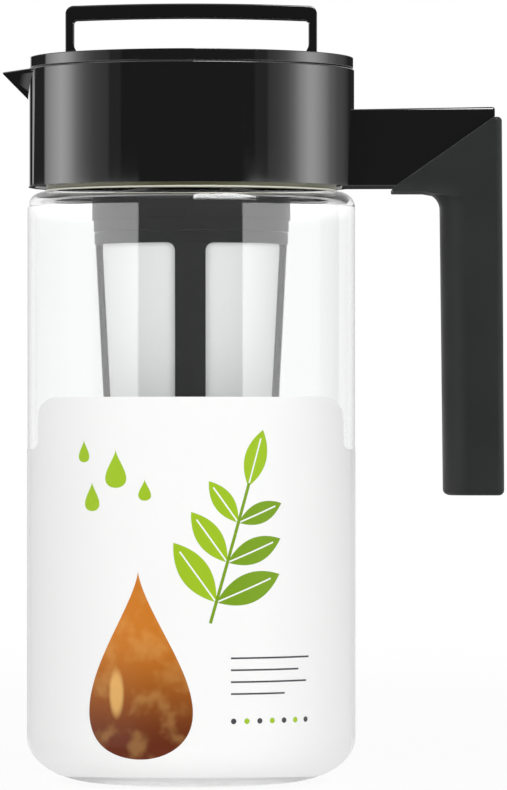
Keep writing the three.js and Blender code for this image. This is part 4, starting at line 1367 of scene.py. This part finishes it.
# A pale ceiling before the object and a pale wall behind it, for rounded edges and the shoulder
CEILING_LEVEL = 2
CEILING_ELEVATION = (34, 42)
CEILING_END = (64, 72, 1, 0.3)
BACK_LEVEL = 0.85
BACK_AZIMUTH = (125, 140)
BACK_ELEVATION = (3.8, 4.6)

# Camera, set so that the picture's scale and horizon are the photograph's
PICTURE_LONG_SIDE_PX = 790
FOCAL_LENGTH_PX = 5559
SENSOR = 36
CAMERA_CLIP = (0.05, 100)
CAMERA_PLACE = (0.01826, -1.632, 0.1131)


def build_floor():
    """A pale floor that takes the object's shadow and turns plain white further off, where
    mirrored rays pass it."""
    material, tree, shader, _ = finished("pale_floor", **FLOOR_LOOK)
    x, y, _ = coordinates(tree)
    reach = (x.squared() + y.squared()).math("SQRT")
    _, dull, _, mirrored = light_rays(tree)
    white = reach.step(*FLOOR_SHADOW, FLOOR_GLOW, 1) * (dull * (FLOOR_BOUNCE - 1) + 1)
    glow = new_node(tree, "Emission", {}).outputs["Emission"]
    nothing = new_node(tree, "BsdfTransparent", {}).outputs["BSDF"]
    lit = blended(tree, white, shader.outputs["BSDF"], glow)
    put_on(tree, blended(tree, mirrored * (reach > FLOOR_MIRRORED_REACH), lit, nothing))
    mesh = bmesh.new()
    corners = ((-1, -1), (1, -1), (1, 1), (-1, 1))
    mesh.faces.new([mesh.verts.new((FLOOR_REACH * a, FLOOR_REACH * b, 0)) for a, b in corners])
    floor = placed("floor", settled("floor", mesh))
    floor.data.materials.append(material)


def curve(value, places, levels):
    """A value through given levels at given places, straight in between."""
    start, end = places[0], places[-1]
    top = max(levels)
    share = ((value - start) * (1 / (end - start))).math("MAXIMUM", 0).math("MINIMUM", 1)
    node = new_node(value.tree, "FloatCurve", {"Value": share})
    line = node.mapping.curves[0]
    while len(line.points) < len(places):
        line.points.new(1 / 2, 1 / 2)
    for point, place, level in zip(line.points, places, levels):
        point.location = ((place - start) / (end - start), level / top)
        point.handle_type = "VECTOR"
    node.mapping.update()
    return Field(node.outputs["Value"]) * top


def side_boxes(azimuth, elevation):
    """A dark room with softboxes: one on each side for the collar, and below a low elevation
    two wide ones for the jug."""
    left = curve(azimuth * -1, LEFT_PLACES, LEFT_LEVELS)
    right = curve(azimuth, RIGHT_PLACES, RIGHT_LEVELS)
    low_boxes = curve(abs(azimuth), LOW_PLACES, LOW_LEVELS)
    high_boxes = between(left, right, azimuth > 0)
    boxes = between(low_boxes, high_boxes, elevation.step(*LOW_TOP))
    boxes = between(high_boxes * UNDER_SHARE, boxes, elevation > LOW_BOTTOM)
    tall = elevation.step(*BOX_TOP, 1, 0) * elevation.step(*BOX_FOOT)
    return (boxes - ROOM_LEVEL) * tall + ROOM_LEVEL


def build_world():
    """White to the eye, plain soft light on what is dull, and for what is glossy the boxes, a
    back wall, a ceiling and a lamp box high up, which also glints inside the jug."""
    world = bpy.data.worlds.new("studio")
    bpy.context.scene.world = world
    world.use_nodes = True
    tree = world.node_tree
    x, y, z = coordinates(tree, "Generated")
    azimuth = x.math("ARCTAN2", y * -1) * (1 / DEGREE)
    elevation = z.math("ARCSINE") * (1 / DEGREE)
    room = side_boxes(azimuth, elevation)
    behind = abs(azimuth).step(*BACK_AZIMUTH)
    wall = behind * elevation.step(*BACK_ELEVATION)
    ceiling = behind.opposite() * elevation.step(*CEILING_ELEVATION) * elevation.step(*CEILING_END)
    lamp = azimuth.within(*TOP_BOX_AZIMUTH) * elevation.within(*TOP_BOX_ELEVATION) * TOP_BOX_LEVEL
    room = room + (wall * BACK_LEVEL - room * wall) + ceiling * CEILING_LEVEL + lamp
    _, dull, passed, mirrored = light_rays(tree)
    strength = mirrored * (room - 1) + passed * lamp + dull * (SOFT_LEVEL - 1) + 1
    dress(tree.nodes["Background"], Color=(1, 1, 1), Strength=strength)


def build_lamps():
    """Two soft lamps before the object, which themselves show nowhere."""
    for name, side, energy in (("left_lamp", -1, LEFT_ENERGY), ("right_lamp", 1, RIGHT_ENERGY)):
        data = bpy.data.lights.new(name, "AREA")
        data.shape = "RECTANGLE"
        data.size, data.size_y = LAMP_SIZE
        data.energy = energy
        lamp = placed(name, data)
        lamp.location = (side * LAMP_PLACE[0], *LAMP_PLACE[1:])
        lamp.rotation_euler = (Vector(LAMP_AIM) - lamp.location).to_track_quat("-Z", "Y").to_euler()
        lamp.visible_glossy = False
        lamp.visible_transmission = False
        lamp.visible_camera = False


def build_camera():
    data = bpy.data.cameras.new("camera")
    data.sensor_width = SENSOR
    data.lens = SENSOR * FOCAL_LENGTH_PX / PICTURE_LONG_SIDE_PX
    data.clip_start, data.clip_end = CAMERA_CLIP
    camera = placed("camera", data)
    camera.location = CAMERA_PLACE
    camera.rotation_euler = (QUARTER, 0, 0)
    bpy.context.scene.camera = camera


build_camera()
build_object()
build_floor()
build_world()
build_lamps()
bpy.context.scene.view_settings.view_transform = "Standard"
